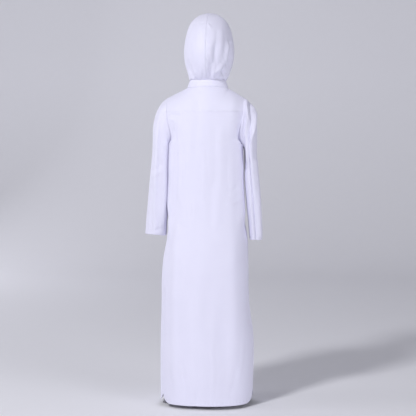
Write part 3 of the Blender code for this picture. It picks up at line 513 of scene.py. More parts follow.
def curved(start, start_way, end, end_way, shares):
    """Rows of points on cubic curves from start to end, leaving and arriving along the two ways."""
    share = np.asarray(shares)[:, None, None]
    return (
        (2 * share**3 - 3 * share**2 + 1) * start
        + (share**3 - 2 * share**2 + share) * start_way
        + (3 * share**2 - 2 * share**3) * end
        + (share**3 - share**2) * end_way
    )


def unit(vectors):
    return vectors / np.maximum(np.linalg.norm(vectors, axis=-1, keepdims=True), TINY)


def bump(value, middle, width):
    return np.exp(-(((value - middle) / width) ** 2))


def outward(grid, facing, tube=False):
    """Normals of a grid of points, turned the way that the facing vectors give.

    A tube's last column repeats its first.
    """
    if tube:
        wide = np.concatenate([grid[:, -2:-1], grid, grid[:, 1:2]], axis=1)
        across = np.gradient(wide, axis=1)[:, 1:-1]
    else:
        across = np.gradient(grid, axis=1)
    normals = unit(np.cross(across, np.gradient(grid, axis=0)))
    return normals if (normals * facing).sum() > 0 else -normals


def fold_height(folds, panel, across, z):
    """Sum of the folds of one panel at places given by (across, z)."""
    total = np.zeros_like(z)
    for name, height, width, line in folds:
        if name != panel:
            continue
        line = np.array(line)
        nearest = np.full(z.shape, np.inf)
        for (x0, z0), (x1, z1) in zip(line[:-1], line[1:]):
            run, rise = x1 - x0, z1 - z0
            share = np.clip(((across - x0) * run + (z - z0) * rise) / (run**2 + rise**2), 0.0, 1.0)
            along = FOLD_ALONG if abs(rise) > abs(run) else 1.0
            away = (across - x0 - share * run) ** 2 + along * (z - z0 - share * rise) ** 2
            nearest = np.minimum(nearest, away)
        total += height * np.exp(-nearest / width**2)
    return total


def waver(grid, strength):
    total = np.zeros(grid.shape[:2])
    for turns_x, turns_y, turns_z, start, share in WAVER:
        turns = grid @ np.array([turns_x, turns_y, turns_z])
        total += share * np.sin(2.0 * np.pi * turns + start)
    return strength * total


def graded(count, share):
    """Column places over an outer stretch of the panel, finer towards its side edge."""
    steps = np.linspace(0.0, 1.0, count + 1)
    return share * (EVEN_COLUMNS * steps + (1.0 - EVEN_COLUMNS) * steps**2)


def panel_columns():
    outer = graded(SHOULDER_COLUMNS, NECK_SHARE)
    middle = np.linspace(NECK_SHARE, 1.0 - NECK_SHARE, NECK_COLUMNS + 1)
    return np.concatenate([outer[:-1], middle, (1.0 - outer)[::-1][1:]])


def section_row(z, side, columns, inset=0.0):
    """Points across one panel at height z, from its left side edge to its right one."""
    left, right, back, front, square, seam = [float(through(BODY_SECTIONS, k, z)) for k in range(1, 7)]
    own, other = (back, front) if side == "back" else (front, back)
    turn = np.linspace(-SEAM_SPARE, np.pi, CURVE_STEPS)
    power = 2.0 / square
    half, middle = (left - right) / 2, (left + right) / 2
    x = middle + half * np.sign(np.cos(turn)) * np.abs(np.cos(turn)) ** power
    y = np.where(turn < 0.0, other, own) * np.abs(np.sin(turn)) ** power
    curve = np.stack([x, y, np.full_like(x, z)], axis=1)
    lengths = run_lengths(curve)
    start = np.interp(0.0, turn, lengths) + inset + (seam if side == "back" else -seam)
    end = lengths[-1] - inset
    return points_at(curve, lengths, start + columns * (end - start))


def lower_body(side, columns, heights):
    """The body below the underarm, with the side slits and the rounded hem corners."""
    rows = []
    for height in heights:
        open_share = np.clip((height - SLIT_TOP_Z) / (HEM_Z - SLIT_TOP_Z), 0.0, 1.0)
        rows.append(section_row(height, side, columns, SLIT_INSETS[side] * open_share))
    grid = np.array(rows)
    run = run_lengths(grid[-1])
    lift = np.zeros_like(run)
    for from_edge, edge in ((run, "left"), (run[-1] - run, "right")):
        width, rise = HEM_CORNERS[side, edge]
        inside = np.clip(1.0 - from_edge / width, 0.0, 1.0)
        lift += rise * (1.0 - np.sqrt(1.0 - inside**2))
    grid[:, :, 2] += lift * smooth_step(-grid[:, :, 2], -SLIT_TOP_Z, -HEM_Z)
    return grid


def upper_heights(ups):
    return UNDERARM_Z + (YOKE_Z - UNDERARM_Z) * (1.0 - np.cos(np.asarray(ups) * np.pi / 2))


def upper_body(side, columns, ups):
    """The body from the underarm to the yoke seam, cut in by the armholes."""
    ring = section_row(UNDERARM_Z, side, columns)
    ring_place = (ring[:, 0] - CENTRE_X) / ARMHOLE[0][1]
    even_place = 1.0 - 2.0 * np.asarray(columns)
    rows = []
    for up, height in zip(ups, upper_heights(ups)):
        edge_x = through(ARMHOLE, 1, up)
        edge_y = through(ARMHOLE, 2 if side == "back" else 3, up)
        middle_y = through(ARMHOLE, 4 if side == "back" else 5, up)
        square = through(ARMHOLE, 6, up)
        share = smooth_step(up, 0.0, ARMHOLE_EVEN_UP)
        cut_in = (1.0 - (edge_y / middle_y) ** square) ** (1.0 / square)
        place = cut_in * ((1.0 - share) * ring_place + share * even_place)
        x = CENTRE_X + place * edge_x / cut_in
        y = middle_y * np.maximum(1.0 - np.abs(place) ** square, 0.0) ** (1.0 / square)
        rows.append(np.stack([x, y, np.full_like(x, height)], axis=1))
    return np.array(rows)


def neck_ring(turn, up=0.0):
    """Points of the collar's ring. Turn is 0 at the back and 90 degrees on the left, up is 0 to 1."""
    angle = np.radians(turn)
    half_x = NECK_HALF[0] + (COLLAR_TOP_HALF[0] - NECK_HALF[0]) * up
    half_y = NECK_HALF[1] + (COLLAR_TOP_HALF[1] - NECK_HALF[1]) * up
    drop = NECK_FRONT_DROP * ((1.0 - np.cos(angle)) / 2) ** NECK_DROP_POWER
    x = NECK_CENTRE[0] + half_x * np.sin(angle)
    y = NECK_CENTRE[1] + half_y * np.cos(angle)
    return np.stack([x, y, COLLAR_HEIGHT * up - drop], axis=-1)


def shoulder_turn():
    """The turn of the neck ring at which the shoulder seam meets it."""
    return float(np.degrees(np.arccos((SHOULDER_SEAM_Y - NECK_CENTRE[1]) / NECK_HALF[1])))


def cap_top(side, columns):
    """The upper edge of the shoulder part, and the way that the cloth takes to it."""
    corner = shoulder_turn()
    across = 2.0 * np.minimum(columns, 1.0 - columns)
    way = np.where(columns < 0.5, 1.0, -1.0)
    share = np.clip(across / (2.0 * NECK_SHARE), 0.0, 1.0)[:, None]
    inward = np.clip((across - 2.0 * NECK_SHARE) / (1.0 - 2.0 * NECK_SHARE), 0.0, 1.0)
    middle_turn = 0.0 if side == "back" else 180.0
    turns = way * (corner + (middle_turn - corner) * inward)
    neck = neck_ring(turns)
    level = np.ones_like(way)
    tip_x = CENTRE_X + way * SHOULDER_POINT[0]
    tip = np.stack([tip_x, level * SHOULDER_SEAM_Y, level * SHOULDER_POINT[1]], axis=1)
    edge = np.where(share < 1.0, tip + (neck - tip) * share, neck)
    sine, cosine = np.sin(np.radians(turns)), np.cos(np.radians(turns))
    ahead = 1.0 if side == "back" else -1.0
    along = unit(np.stack([way * cosine * NECK_HALF[0], -np.abs(sine) * NECK_HALF[1], 0.0 * way], axis=1))
    over = ahead * (along - np.array([0.0, 0.0, SHOULDER_SLOPE]))
    level_way, up_way = [
        side_part + (middle_part - side_part) * np.abs(cosine)
        for side_part, middle_part in zip(NECK_SIDE_WAY, NECK_MIDDLE_WAYS[side])
    ]
    into = np.stack([-sine * level_way, -cosine * level_way, up_way], axis=1)
    over_share = np.cos(inward * np.pi / 2)[:, None]
    into_share = np.sin(inward * np.pi / 2)[:, None]
    arrive = over * over_share + into * into_share
    return edge, arrive * (1.0 - (1.0 - NECK_WAY_REACH) * into_share)


def cap(side, columns, shares):
    """The shoulder part, from the height of the yoke seam to the shoulder seam and the neck."""
    start = upper_body(side, columns, [1.0])[0]
    end, arrive = cap_top(side, columns)
    reach = np.linalg.norm(end - start, axis=1, keepdims=True)
    level = np.zeros(len(start))
    leave = np.stack([level, -YOKE_LEAN * np.sign(start[:, 1]), level + 1.0], axis=1)
    return curved(start, leave * reach, end, arrive * reach, shares)


def folded(grid, side, to_edges=True):
    """The grid with its folds and slight unevenness, and its normals."""
    facing = np.array([0.0, 1.0 if side == "back" else -1.0, PANEL_FACING_UP])
    normals = outward(grid, facing)
    x, z = grid[:, :, 0], grid[:, :, 2]
    height = fold_height(BODY_FOLDS + SMALL_BODY_FOLDS, side, x, z) + waver(grid, BODY_WAVER)
    height *= smooth_step(-z, *FOLD_NECK_FADE)
    if to_edges:
        across = run_lengths(grid.transpose(1, 0, 2)).T
        height *= smooth_step(np.minimum(across, across[:, -1:] - across), *FOLD_EDGE_FADE)
    moved = grid + normals * height[:, :, None]
    return Sheet(moved, facing)


class Sheet:
    """A grid of points of one cloth piece, with its normals and the distance to each edge."""

    def __init__(self, grid, facing, tube=False):
        self.grid, self.facing, self.tube = grid, facing, tube
        self.normals = outward(grid, facing, tube)
        self.along = run_lengths(grid)
        self.across = run_lengths(grid.transpose(1, 0, 2)).T
        self.from_first, self.from_last = self.along, self.along[-1] - self.along
        self.from_left, self.from_right = self.across, self.across[:, -1:] - self.across

    def side(self):
        return np.minimum(self.from_left, self.from_right)

    def raise_by(self, height):
        self.grid = self.grid + self.normals * height[:, :, None]
        self.normals = outward(self.grid, self.facing, self.tube)

    def relief(self, distance, dip, swell=None, where=1.0):
        """A dip at an edge, with a slight swell beside it."""
        height = dip[0] * bump(distance, 0.0, dip[1])
        if swell:
            height += swell[0] * bump(distance, *swell[1:])
        self.raise_by(height * where)

    def ripples(self, distance, run, place, ripple):
        """The small ripples that sewing leaves along a line, at an uneven pitch."""
        height, pitch, wander, reach = ripple
        phase = 2.0 * np.pi * run / pitch + RIPPLE_SWAY * np.sin(2.0 * np.pi * run / wander)
        return height * np.sin(phase) * bump(distance, place, reach)

    def turned_hem(self, distance, run, width, where=1.0):
        """A doubled edge held by one row of stitches."""
        step_in, step_out = HEM_STEP
        height = HEM_LIFT * (1.0 - smooth_step(distance, width + step_in, width + step_out))
        height += STITCH_DIP[0] * bump(distance, width - STITCH_INSET, STITCH_DIP[1])
        height += HEM_ROLL[0] * bump(distance, 0.0, HEM_ROLL[1])
        self.raise_by((height + self.ripples(distance, run, width, RIPPLE)) * where)

    def line(self, distance, at, by_column=True, keep=None):
        """Points and normals along the line that lies at one distance from an edge."""
        points, ways = [], []
        for index in range(self.grid.shape[1] if by_column else self.grid.shape[0]):
            if keep is not None and not keep[index]:
                continue
            pick = (slice(None), index) if by_column else index
            order = np.argsort(distance[pick])
            place, run, way = distance[pick][order], self.grid[pick][order], self.normals[pick][order]
            if place[0] <= at <= place[-1]:
                points.append([np.interp(at, place, run[:, axis]) for axis in range(3)])
                ways.append([np.interp(at, place, way[:, axis]) for axis in range(3)])
        return np.array(points), np.array(ways)


def srgb(code):
    """A hex colour as linear numbers."""
    parts = [int(code[k:k + 2], 16) / 255.0 for k in (1, 3, 5)]
    linear = [part / 12.92 if part <= 0.04045 else ((part + 0.055) / 1.055) ** 2.4 for part in parts]
    return (*linear, 1.0)


def add_node(tree, kind, settings=None, values=None, links=None):
    """Adds a node, sets its properties and input values, and links (input, source socket) pairs."""
    node = tree.nodes.new(kind)
    for key, value in (settings or {}).items():
        setattr(node, key, value)
    for key, value in (values or {}).items():
        node.inputs[key].default_value = value
    for key, source in (links or {}).items():
        tree.links.new(source, node.inputs[key])
    return node


def new_material(name):
    material = bpy.data.materials.new(name)
    material.use_nodes = True
    tree = material.node_tree
    return material, tree, tree.nodes["Principled BSDF"]


def two_tone(tree, shader, share, first, second):
    """The base colour, mixed from two colours by a pattern."""
    tint = add_node(tree, "ShaderNodeMix", {"data_type": "RGBA"}, links={"Factor": share})
    tint.inputs["A"].default_value = srgb(first)
    tint.inputs["B"].default_value = srgb(second)
    tree.links.new(tint.outputs["Result"], shader.inputs["Base Color"])


def roughness(tree, shader, share, low, high):
    values = {"To Min": low, "To Max": high}
    between = add_node(tree, "ShaderNodeMapRange", values=values, links={"Value": share})
    tree.links.new(between.outputs["Result"], shader.inputs["Roughness"])


def object_noise(tree, width, **values):
    """A noise of the given width in metres on the piece's own coordinates."""
    place = add_node(tree, "ShaderNodeTexCoord")
    values["Scale"] = 1.0 / width
    return add_node(
        tree, "ShaderNodeTexNoise", values=values, links={"Vector": place.outputs["Object"]}
    ).outputs["Fac"]


def bands(tree, direction, pitch, vector, **values):
    """A wave pattern with one band in each pitch: the texture has 20 / (2 pi) bands a unit."""
    values["Scale"] = 2.0 * math.pi / 20.0 / pitch
    settings = {"bands_direction": direction}
    return add_node(tree, "ShaderNodeTexWave", settings, values, {"Vector": vector}).outputs["Fac"]


def woven_cotton():
    """Bleached cotton blend, plain woven and pressed: matt, with a soft bloom at grazing angles."""
    material, tree, shader = new_material("bleached_woven_cotton")
    # The UV map is in metres along the threads. Real threads are 0.25 mm apart, too fine to show,
    # so they are drawn 0.8 mm apart.
    threads = add_node(tree, "ShaderNodeUVMap", {"uv_map": "cloth"}).outputs["UV"]
    warp = bands(tree, "X", 0.0008, threads, Distortion=0.6, Detail=1.0)
    weft = bands(tree, "Y", 0.0008, threads, Distortion=0.6, Detail=1.0)
    weave = add_node(tree, "ShaderNodeMath", {"operation": "MAXIMUM"}, links={0: warp, 1: weft})
    # Slubs are thick stretches of yarn, about 12 mm long and 1 mm wide.
    slub_scale = (1.0 / 0.001, 1.0 / 0.012, 1.0)
    slub_map = add_node(tree, "ShaderNodeMapping", values={"Scale": slub_scale}, links={"Vector": threads})
    slub_values = {"Scale": 1.0, "Detail": 2.0}
    slub_links = {"Vector": slub_map.outputs["Vector"]}
    slubs = add_node(tree, "ShaderNodeTexNoise", values=slub_values, links=slub_links)
    # Pressing leaves patches about 60 mm wide that catch the light a little differently.
    patches = object_noise(tree, 0.060, Detail=3.0, Roughness=0.5)
    two_tone(tree, shader, patches, "#E8E7F6", "#E4E3F3")
    roughness(tree, shader, patches, 0.78, 0.90)
    # The slubs stand out by 0.35 of the weave's own height.
    yarn = add_node(
        tree,
        "ShaderNodeMath",
        {"operation": "MULTIPLY_ADD"},
        {1: 0.35},
        {0: slubs.outputs["Fac"], 2: weave.outputs["Value"]},
    )
    relief = add_node(
        tree,
        "ShaderNodeBump",
        values={"Strength": 0.16, "Distance": 0.0002},
        links={"Height": yarn.outputs["Value"]},
    )
    tree.links.new(relief.outputs["Normal"], shader.inputs["Normal"])
    shader.inputs["Sheen Weight"].default_value = 0.10
    shader.inputs["Sheen Roughness"].default_value = 0.45
    shader.inputs["Specular IOR Level"].default_value = 0.25
    return material


def spun_thread():
    """Spun polyester sewing thread: a two-ply twist with a slight gloss."""
    material, tree, shader = new_material("spun_polyester_thread")
    place = add_node(tree, "ShaderNodeTexCoord")
    # The twist of the plies is 0.6 mm long.
    twist = bands(tree, "DIAGONAL", 0.0006, place.outputs["Object"], Distortion=0.5)
    two_tone(tree, shader, twist, "#DEDDEC", "#F6F5FD")
    shader.inputs["Roughness"].default_value = 0.55
    return material


def moulded_button():
    """Moulded polyester resin, tumbled to a soft gloss, with faint pearly clouds."""
    material, tree, shader = new_material("moulded_polyester_button")
    # The clouds of the resin are about 4 mm wide.
    clouds = object_noise(tree, 0.004, Detail=3.0, Distortion=1.2)
    two_tone(tree, shader, clouds, "#DEDCEA", "#F6F5FB")
    roughness(tree, shader, clouds, 0.24, 0.40)
    shader.inputs["IOR"].default_value = 1.54
    return material


def painted_sweep():
    """Matt emulsion on the studio's sweep, rolled on."""
    material, tree, shader = new_material("painted_studio_sweep")
    # Roller marks of the paint are about 30 mm wide.
    two_tone(tree, shader, object_noise(tree, 0.030), "#EEEEF1", "#F0F0F3")
    shader.inputs["Roughness"].default_value = 0.9
    return material


def added(name, mesh, material):
    data = bpy.data.meshes.new(name)
    mesh.to_mesh(data)
    mesh.free()
    data.materials.append(material)
    data.shade_smooth()
    piece = bpy.data.objects.new(name, data)
    bpy.context.scene.collection.objects.link(piece)
    return piece


def finished(name, mesh, material, nodes=()):
    piece = added(name, mesh, material)
    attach(piece, "root")
    if nodes:
        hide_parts(*nodes)
    return piece


def shell(name, sheet, thick, material, node, open_cells=()):
    """A cloth piece: a grid on the sheet's points, thickened inwards, with its UV map in metres."""
    outer, inner = sheet.grid, sheet.grid - thick * sheet.normals
    rows, columns = outer.shape[:2]
    mesh = bmesh.new()
    other_side = mesh.verts.layers.float_vector.new("other_side")
    flat = mesh.loops.layers.uv.new("cloth")
    bmesh.ops.create_grid(mesh, x_segments=columns - 1, y_segments=rows - 1, size=1.0)
    places = np.stack([sheet.across, sheet.along], axis=2).reshape(-1, 2)
    for face in mesh.faces:
        for loop in face.loops:
            loop[flat].uv = places[loop.vert.index]
    for vert, out, back in zip(mesh.verts, outer.reshape(-1, 3), inner.reshape(-1, 3)):
        vert.co = out
        vert[other_side] = back
    if open_cells:
        mesh.faces.ensure_lookup_table()
        cut = [mesh.faces[row * (columns - 1) + column] for row, column in open_cells]
        bmesh.ops.delete(mesh, geom=cut, context="FACES")
    if sheet.tube:
        bmesh.ops.remove_doubles(mesh, verts=mesh.verts, dist=MERGE_DISTANCE)
    made = bmesh.ops.extrude_face_region(mesh, geom=mesh.faces[:], use_keep_orig=True)
    for part in made["geom"]:
        if isinstance(part, bmesh.types.BMVert):
            part.co = part[other_side]
    bmesh.ops.recalc_face_normals(mesh, faces=mesh.faces)
    if mesh.calc_volume(signed=True) < 0.0:
        bmesh.ops.reverse_faces(mesh, faces=mesh.faces)
    piece = finished(name, mesh, material, [node])


STITCH_LINES = []


def sew(line):
    """Keeps a line of stitches, as its points and normals. make_stitches builds them."""
    if len(line[0]) > 2:
        STITCH_LINES.append(line)


def make_stitches(thread):
    """One mesh of all the stitches: each is a short bar half sunk in the cloth."""
    mesh = bmesh.new()
    for points, ways in STITCH_LINES:
        lengths = run_lengths(points)
        count = max(2, int(lengths[-1] / STITCH_PITCH))
        marks = lengths[-1] * np.arange(2 * count + 1) / (2 * count)
        spots, normals = points_at(points, lengths, marks), points_at(ways, lengths, marks)
        for head in range(0, 2 * count, 2):
            middle, tail = head + 1, head + 2
            way = Vector(normals[middle]).normalized()
            run = Vector(spots[tail] - spots[head]).normalized()
            side = way.cross(run).normalized()
            turn = Matrix((side, run.cross(side), run)).transposed().to_4x4()
            turn.translation = Vector(spots[middle]) + way * (THREAD_RADIUS * THREAD_SUNK)
            bmesh.ops.create_cone(
                mesh,
                cap_ends=True,
                segments=THREAD_SIDES,
                radius1=THREAD_RADIUS,
                radius2=THREAD_RADIUS,
                depth=STITCH_LENGTH,
                matrix=turn,
            )
    bmesh.ops.recalc_face_normals(mesh, faces=mesh.faces)
    finished("robe_stitches", mesh, thread)


def joined_steps(*stretches):
    """Steps through stretches of (start, end, count), each beginning where the last one ends."""
    parts = [np.linspace(start, end, count + 1)[1:] for start, end, count in stretches]
    return np.concatenate([[stretches[0][0]], *parts])


def fine_start(count):
    """Shares from 1 to 0, finer at the start."""
    return joined_steps((1.0, 1.0 - FINE_SHARE, FINE_ROWS), (1.0 - FINE_SHARE, 0.0, count))


def fine_ends(edge, count):
    """Shares from 1 to 0, finer at both ends."""
    return joined_steps((1.0, 1.0 - edge, FINE_ROWS), (1.0 - edge, edge, count), (edge, 0.0, FINE_ROWS))


def even_ups(shares):
    """The armhole table's places for even shares of the height from the underarm to the yoke."""
    return np.arccos(1.0 - np.clip(shares, 0.0, 1.0)) * 2.0 / np.pi


def body_sheet(side, columns):
    """Back up to the yoke seam, or front up to the shoulder seams and the neck."""
    ups = even_ups(fine_start(UPPER_ROWS))
    band_z = HEM_Z + HEM_BAND
    heights = joined_steps(
        (UNDERARM_Z, SLIT_TOP_Z, BODY_ROWS), (SLIT_TOP_Z, band_z, SLIT_ROWS), (band_z, HEM_Z, HEM_ROWS)
    )
    grid = np.concatenate([upper_body(side, columns, ups), lower_body(side, columns, heights[1:])])
    if side == "front":
        grid = np.concatenate([cap(side, columns, fine_start(YOKE_ROWS)[:-1]), grid])
    return folded(grid, side)


def finish_edges(sheet, step):
    """The seams, the slits' turned edges and the turned hem of the back or the front."""
    z = sheet.grid[:, :, 2]
    slit = smooth_step(SLIT_TOP_Z - z, *SLIT_START)
    side = sheet.side()
    sheet.raise_by(step * slit * (1.0 - smooth_step(side, *SLIT_STEP_REACH)))
    sheet.relief(sheet.from_first, SEAM_DIP, SEAM_SWELL)
    sheet.relief(side, SEAM_DIP, SEAM_SWELL, 1.0 - slit)
    sheet.turned_hem(sheet.from_last, sheet.across, HEM_WIDTH)
    hem_free = smooth_step(sheet.from_last, HEM_WIDTH * CORNER_FREE[0], HEM_WIDTH * CORNER_FREE[1])
    sheet.turned_hem(side, sheet.along, HEM_WIDTH, slit * hem_free)
    inside = HEM_WIDTH - STITCH_INSET
    sew(sheet.line(sheet.from_last, inside, keep=side[-1] > inside))
    for distance, edge in ((sheet.from_left, 0), (sheet.from_right, -1)):
        rows = (z[:, edge] < SLIT_TOP_Z - SLIT_START[0]) & (sheet.from_last[:, edge] > inside)
        sew(sheet.line(distance, inside, by_column=False, keep=rows))


def make_back(cloth):
    sheet = body_sheet("back", panel_columns())
    sheet.relief(sheet.from_first, BACK_TOP_RISE)
    finish_edges(sheet, SLIT_STEP["back"])
    shell("robe_back", sheet, CLOTH, cloth, "back")


def make_front(cloth):
    columns = panel_columns()
    middle = len(columns) // 2
    columns = np.concatenate([columns[:middle], NECK_SLIT_COLUMNS, columns[middle + 1:]])
    sheet = body_sheet("front", columns)
    finish_edges(sheet, SLIT_STEP["front"])
    run = sheet.grid[:, middle, 2]
    rows = [row for row in range(len(run) - 1) if run[row + 1] > run[0] - NECK_SLIT_DEPTH]
    shell("robe_front", sheet, CLOTH, cloth, "front", [(row, middle) for row in rows])


def make_yoke(cloth):
    sheet = folded(cap("back", panel_columns(), fine_ends(FINE_SHARE, YOKE_ROWS)), "back")
    sheet.relief(sheet.from_first, SEAM_DIP, SEAM_SWELL)
    sheet.relief(sheet.side(), SEAM_DIP, SEAM_SWELL)
    sheet.relief(np.abs(sheet.from_last - YOKE_STITCH), YOKE_DIP)
    sheet.relief(sheet.from_last, YOKE_RISE)
    sheet.raise_by(sheet.ripples(sheet.from_last, sheet.across, YOKE_STITCH, YOKE_RIPPLE))
    sew(sheet.line(sheet.from_last, YOKE_STITCH))
    shell("robe_yoke", sheet, CLOTH, cloth, "yoke_back")


def make_plackets(cloth):
    """Two strips along the neck slit: one over the front, one behind it."""
    columns = 0.5 + np.linspace(-1.0, 1.0, PLACKET_COLUMNS + 1) * PLACKET_HALF_WIDTH / FRONT_WIDTH
    cap_rows, upper_rows, lower_rows = PLACKET_ROWS
    end_z = neck_ring(np.array([180.0]))[0, 2] - NECK_SLIT_DEPTH - PLACKET_END
    parts = [
        cap("front", columns, joined_steps((PLACKET_TOP_SHARE, 0.0, cap_rows))[:-1]),
        upper_body("front", columns, even_ups(joined_steps((1.0, 0.0, upper_rows)))),
        lower_body("front", columns, joined_steps((UNDERARM_Z, end_z, lower_rows))[1:]),
    ]
    on_front = folded(np.concatenate(parts), "front", to_edges=False)
    grid, normals = on_front.grid, on_front.normals
    over = Sheet(grid + PLACKET_LIFT * normals, on_front.facing)
    narrower = np.array([PLACKET_UNDER_SHARE, 1.0, 1.0])
    under = Sheet((grid - PLACKET_DROP * normals) * narrower, on_front.facing)
    for strip in (over, under):
        edge = np.minimum(strip.side(), strip.from_last)
        strip.relief(np.abs(edge - PLACKET_STITCH), PLACKET_DIP)
        strip.relief(edge, HEM_ROLL, PLACKET_SWELL)
    for distance in (over.from_left, over.from_right):
        sew(over.line(distance, PLACKET_STITCH, by_column=False))
    sew(over.line(over.from_last, PLACKET_STITCH))
    shell("robe_placket_over", over, PLACKET_CLOTH, cloth, "placket_over")
    shell("robe_placket_under", under, CLOTH, cloth, "placket_under")
    return over


def armhole_loop(side):
    """The armhole's edge, from the shoulder tip down the back, under the arm and up the front."""
    column = np.array([0.0, 0.5, 1.0])
    pick = 0 if side == "left" else -1
    steps = np.linspace(0.0, 1.0, LOOP_STEPS + 1)
    parts = []
    for panel in ("back", "front"):
        rise = np.concatenate([upper_body(panel, column, steps), cap(panel, column, steps)[1:]])
        parts.append(rise[:, pick])
    return np.concatenate([parts[0][::-1], parts[1][1:]])


def sleeve_ring(rows, z, turns):
    """One section of a sleeve. Turn 0 is its outer side, a quarter turn is its back."""
    inner, outer, middle_y, half_y, tilt = [float(through(rows, k, z)) for k in range(1, 6)]
    half = (outer - inner) / 2
    power = 2.0 / SLEEVE_SQUARENESS
    cosine, sine = np.cos(turns), np.sin(turns)
    x = (outer + inner) / 2 + half * np.sign(cosine) * np.abs(cosine) ** power
    y = middle_y + half_y * np.sign(sine) * np.abs(sine) ** power
    return np.stack([x, y, z - tilt * cosine], axis=1)


def sleeve_grid(side):
    """A sleeve from the armhole's edge to the cuff, without its folds."""
    rows = SLEEVE_SECTIONS[side]
    way = 1.0 if side == "left" else -1.0
    turns = np.linspace(0.0, 2.0 * np.pi, SLEEVE_COLUMNS + 1)
    loop = armhole_loop(side)
    length = run_lengths(loop)
    loop = points_at(loop, length, length[-1] * turns / (2.0 * np.pi))
    top_share = (1.0 + np.cos(turns)) / 2
    out = way * (SLEEVE_OUT[0] + SLEEVE_OUT[1] * top_share)
    down = SLEEVE_DOWN[0] + SLEEVE_DOWN[1] * top_share
    outer_way = unit(np.stack([out, SLEEVE_SWING * np.sin(turns), down], axis=1))
    top_z, cuff_z = rows[0][0], rows[-1][0]
    first = sleeve_ring(rows, top_z, turns)
    lower_way = unit(sleeve_ring(rows, top_z - SLEEVE_WAY_STEP, turns) - first)
    reach = np.linalg.norm(first - loop, axis=1, keepdims=True)
    shares = joined_steps((0.0, FINE_SHARE, FINE_ROWS), (FINE_SHARE, 1.0, SLEEVE_CAP_ROWS))
    top = curved(loop, outer_way * reach * SLEEVE_REACH, first, lower_way * reach, shares)
    hem_z = cuff_z + CUFF_HEM_WIDTH
    marks = (top_z, hem_z + CUFF_BAND, hem_z - CUFF_BAND, cuff_z + CUFF_EDGE, cuff_z)
    heights = joined_steps(*zip(marks[:-1], marks[1:], SLEEVE_ROWS))[1:]
    grid = np.concatenate([top, [sleeve_ring(rows, z, turns) for z in heights]])
    grid[:, -1] = grid[:, 0]
    return grid


def make_sleeve(side, cloth):
    grid = sleeve_grid(side)
    facing = grid - grid[:, :-1].mean(axis=1, keepdims=True)
    height = waver(grid, SLEEVE_WAVER)
    for panel, way in (("back", 1.0), ("front", -1.0)):
        folds = fold_height(SLEEVE_FOLDS, f"{side} {panel}", grid[:, :, 0], grid[:, :, 2])
        height += folds * smooth_step(way * facing[:, :, 1], *FOLD_SLEEVE_FADE)
    height *= smooth_step(run_lengths(grid), *FOLD_ARMHOLE_FADE)
    grid = grid + outward(grid, facing, tube=True) * height[:, :, None]
    grid[:, -1] = grid[:, 0]
    sheet = Sheet(grid, facing, tube=True)
    sheet.relief(sheet.from_first, SEAM_DIP, SEAM_SWELL)
    sheet.turned_hem(sheet.from_last, sheet.across, CUFF_HEM_WIDTH)
    sheet.grid[:, -1] = sheet.grid[:, 0]
    sew(sheet.line(sheet.from_last, CUFF_HEM_WIDTH - STITCH_INSET))
    shell(f"robe_sleeve_{side}", sheet, CLOTH, cloth, f"sleeve_{side}")


def make_collar(cloth):
    """A stand band, lapped at the front with its left end over its right one."""
    turns = np.linspace(180.0 + COLLAR_LAP_TURN, -180.0 + COLLAR_END_TURN, COLLAR_CELLS + 1)
    ups = fine_ends(COLLAR_EDGE_SHARE, COLLAR_MIDDLE_ROWS)
    grid = np.array([neck_ring(turns, up) for up in ups])
    grid[:, :, 2] += SEAM_GAP
    facing = grid - grid.mean(axis=(0, 1))
    step_out = COLLAR_LAP * smooth_step(turns, *COLLAR_STEP_TURNS)
    sheet = Sheet(grid + outward(grid, facing) * step_out[None, :, None], facing)
    edge = np.minimum(sheet.from_first, sheet.from_last)
    sheet.relief(edge, COLLAR_ROLL, COLLAR_SWELL)
    sheet.relief(np.abs(edge - COLLAR_STITCH), COLLAR_DIP)
    sheet.raise_by(sheet.ripples(edge, sheet.across, COLLAR_RIPPLE[3], COLLAR_RIPPLE))
    for distance in (sheet.from_first, sheet.from_last):
        sew(sheet.line(distance, COLLAR_STITCH))
    shell("robe_collar", sheet, COLLAR_CLOTH, cloth, "collar")
    place = int(np.argmin(np.abs(turns - 180.0)))
    middle = len(ups) // 2
    return sheet.grid[middle, place], sheet.normals[middle, place]


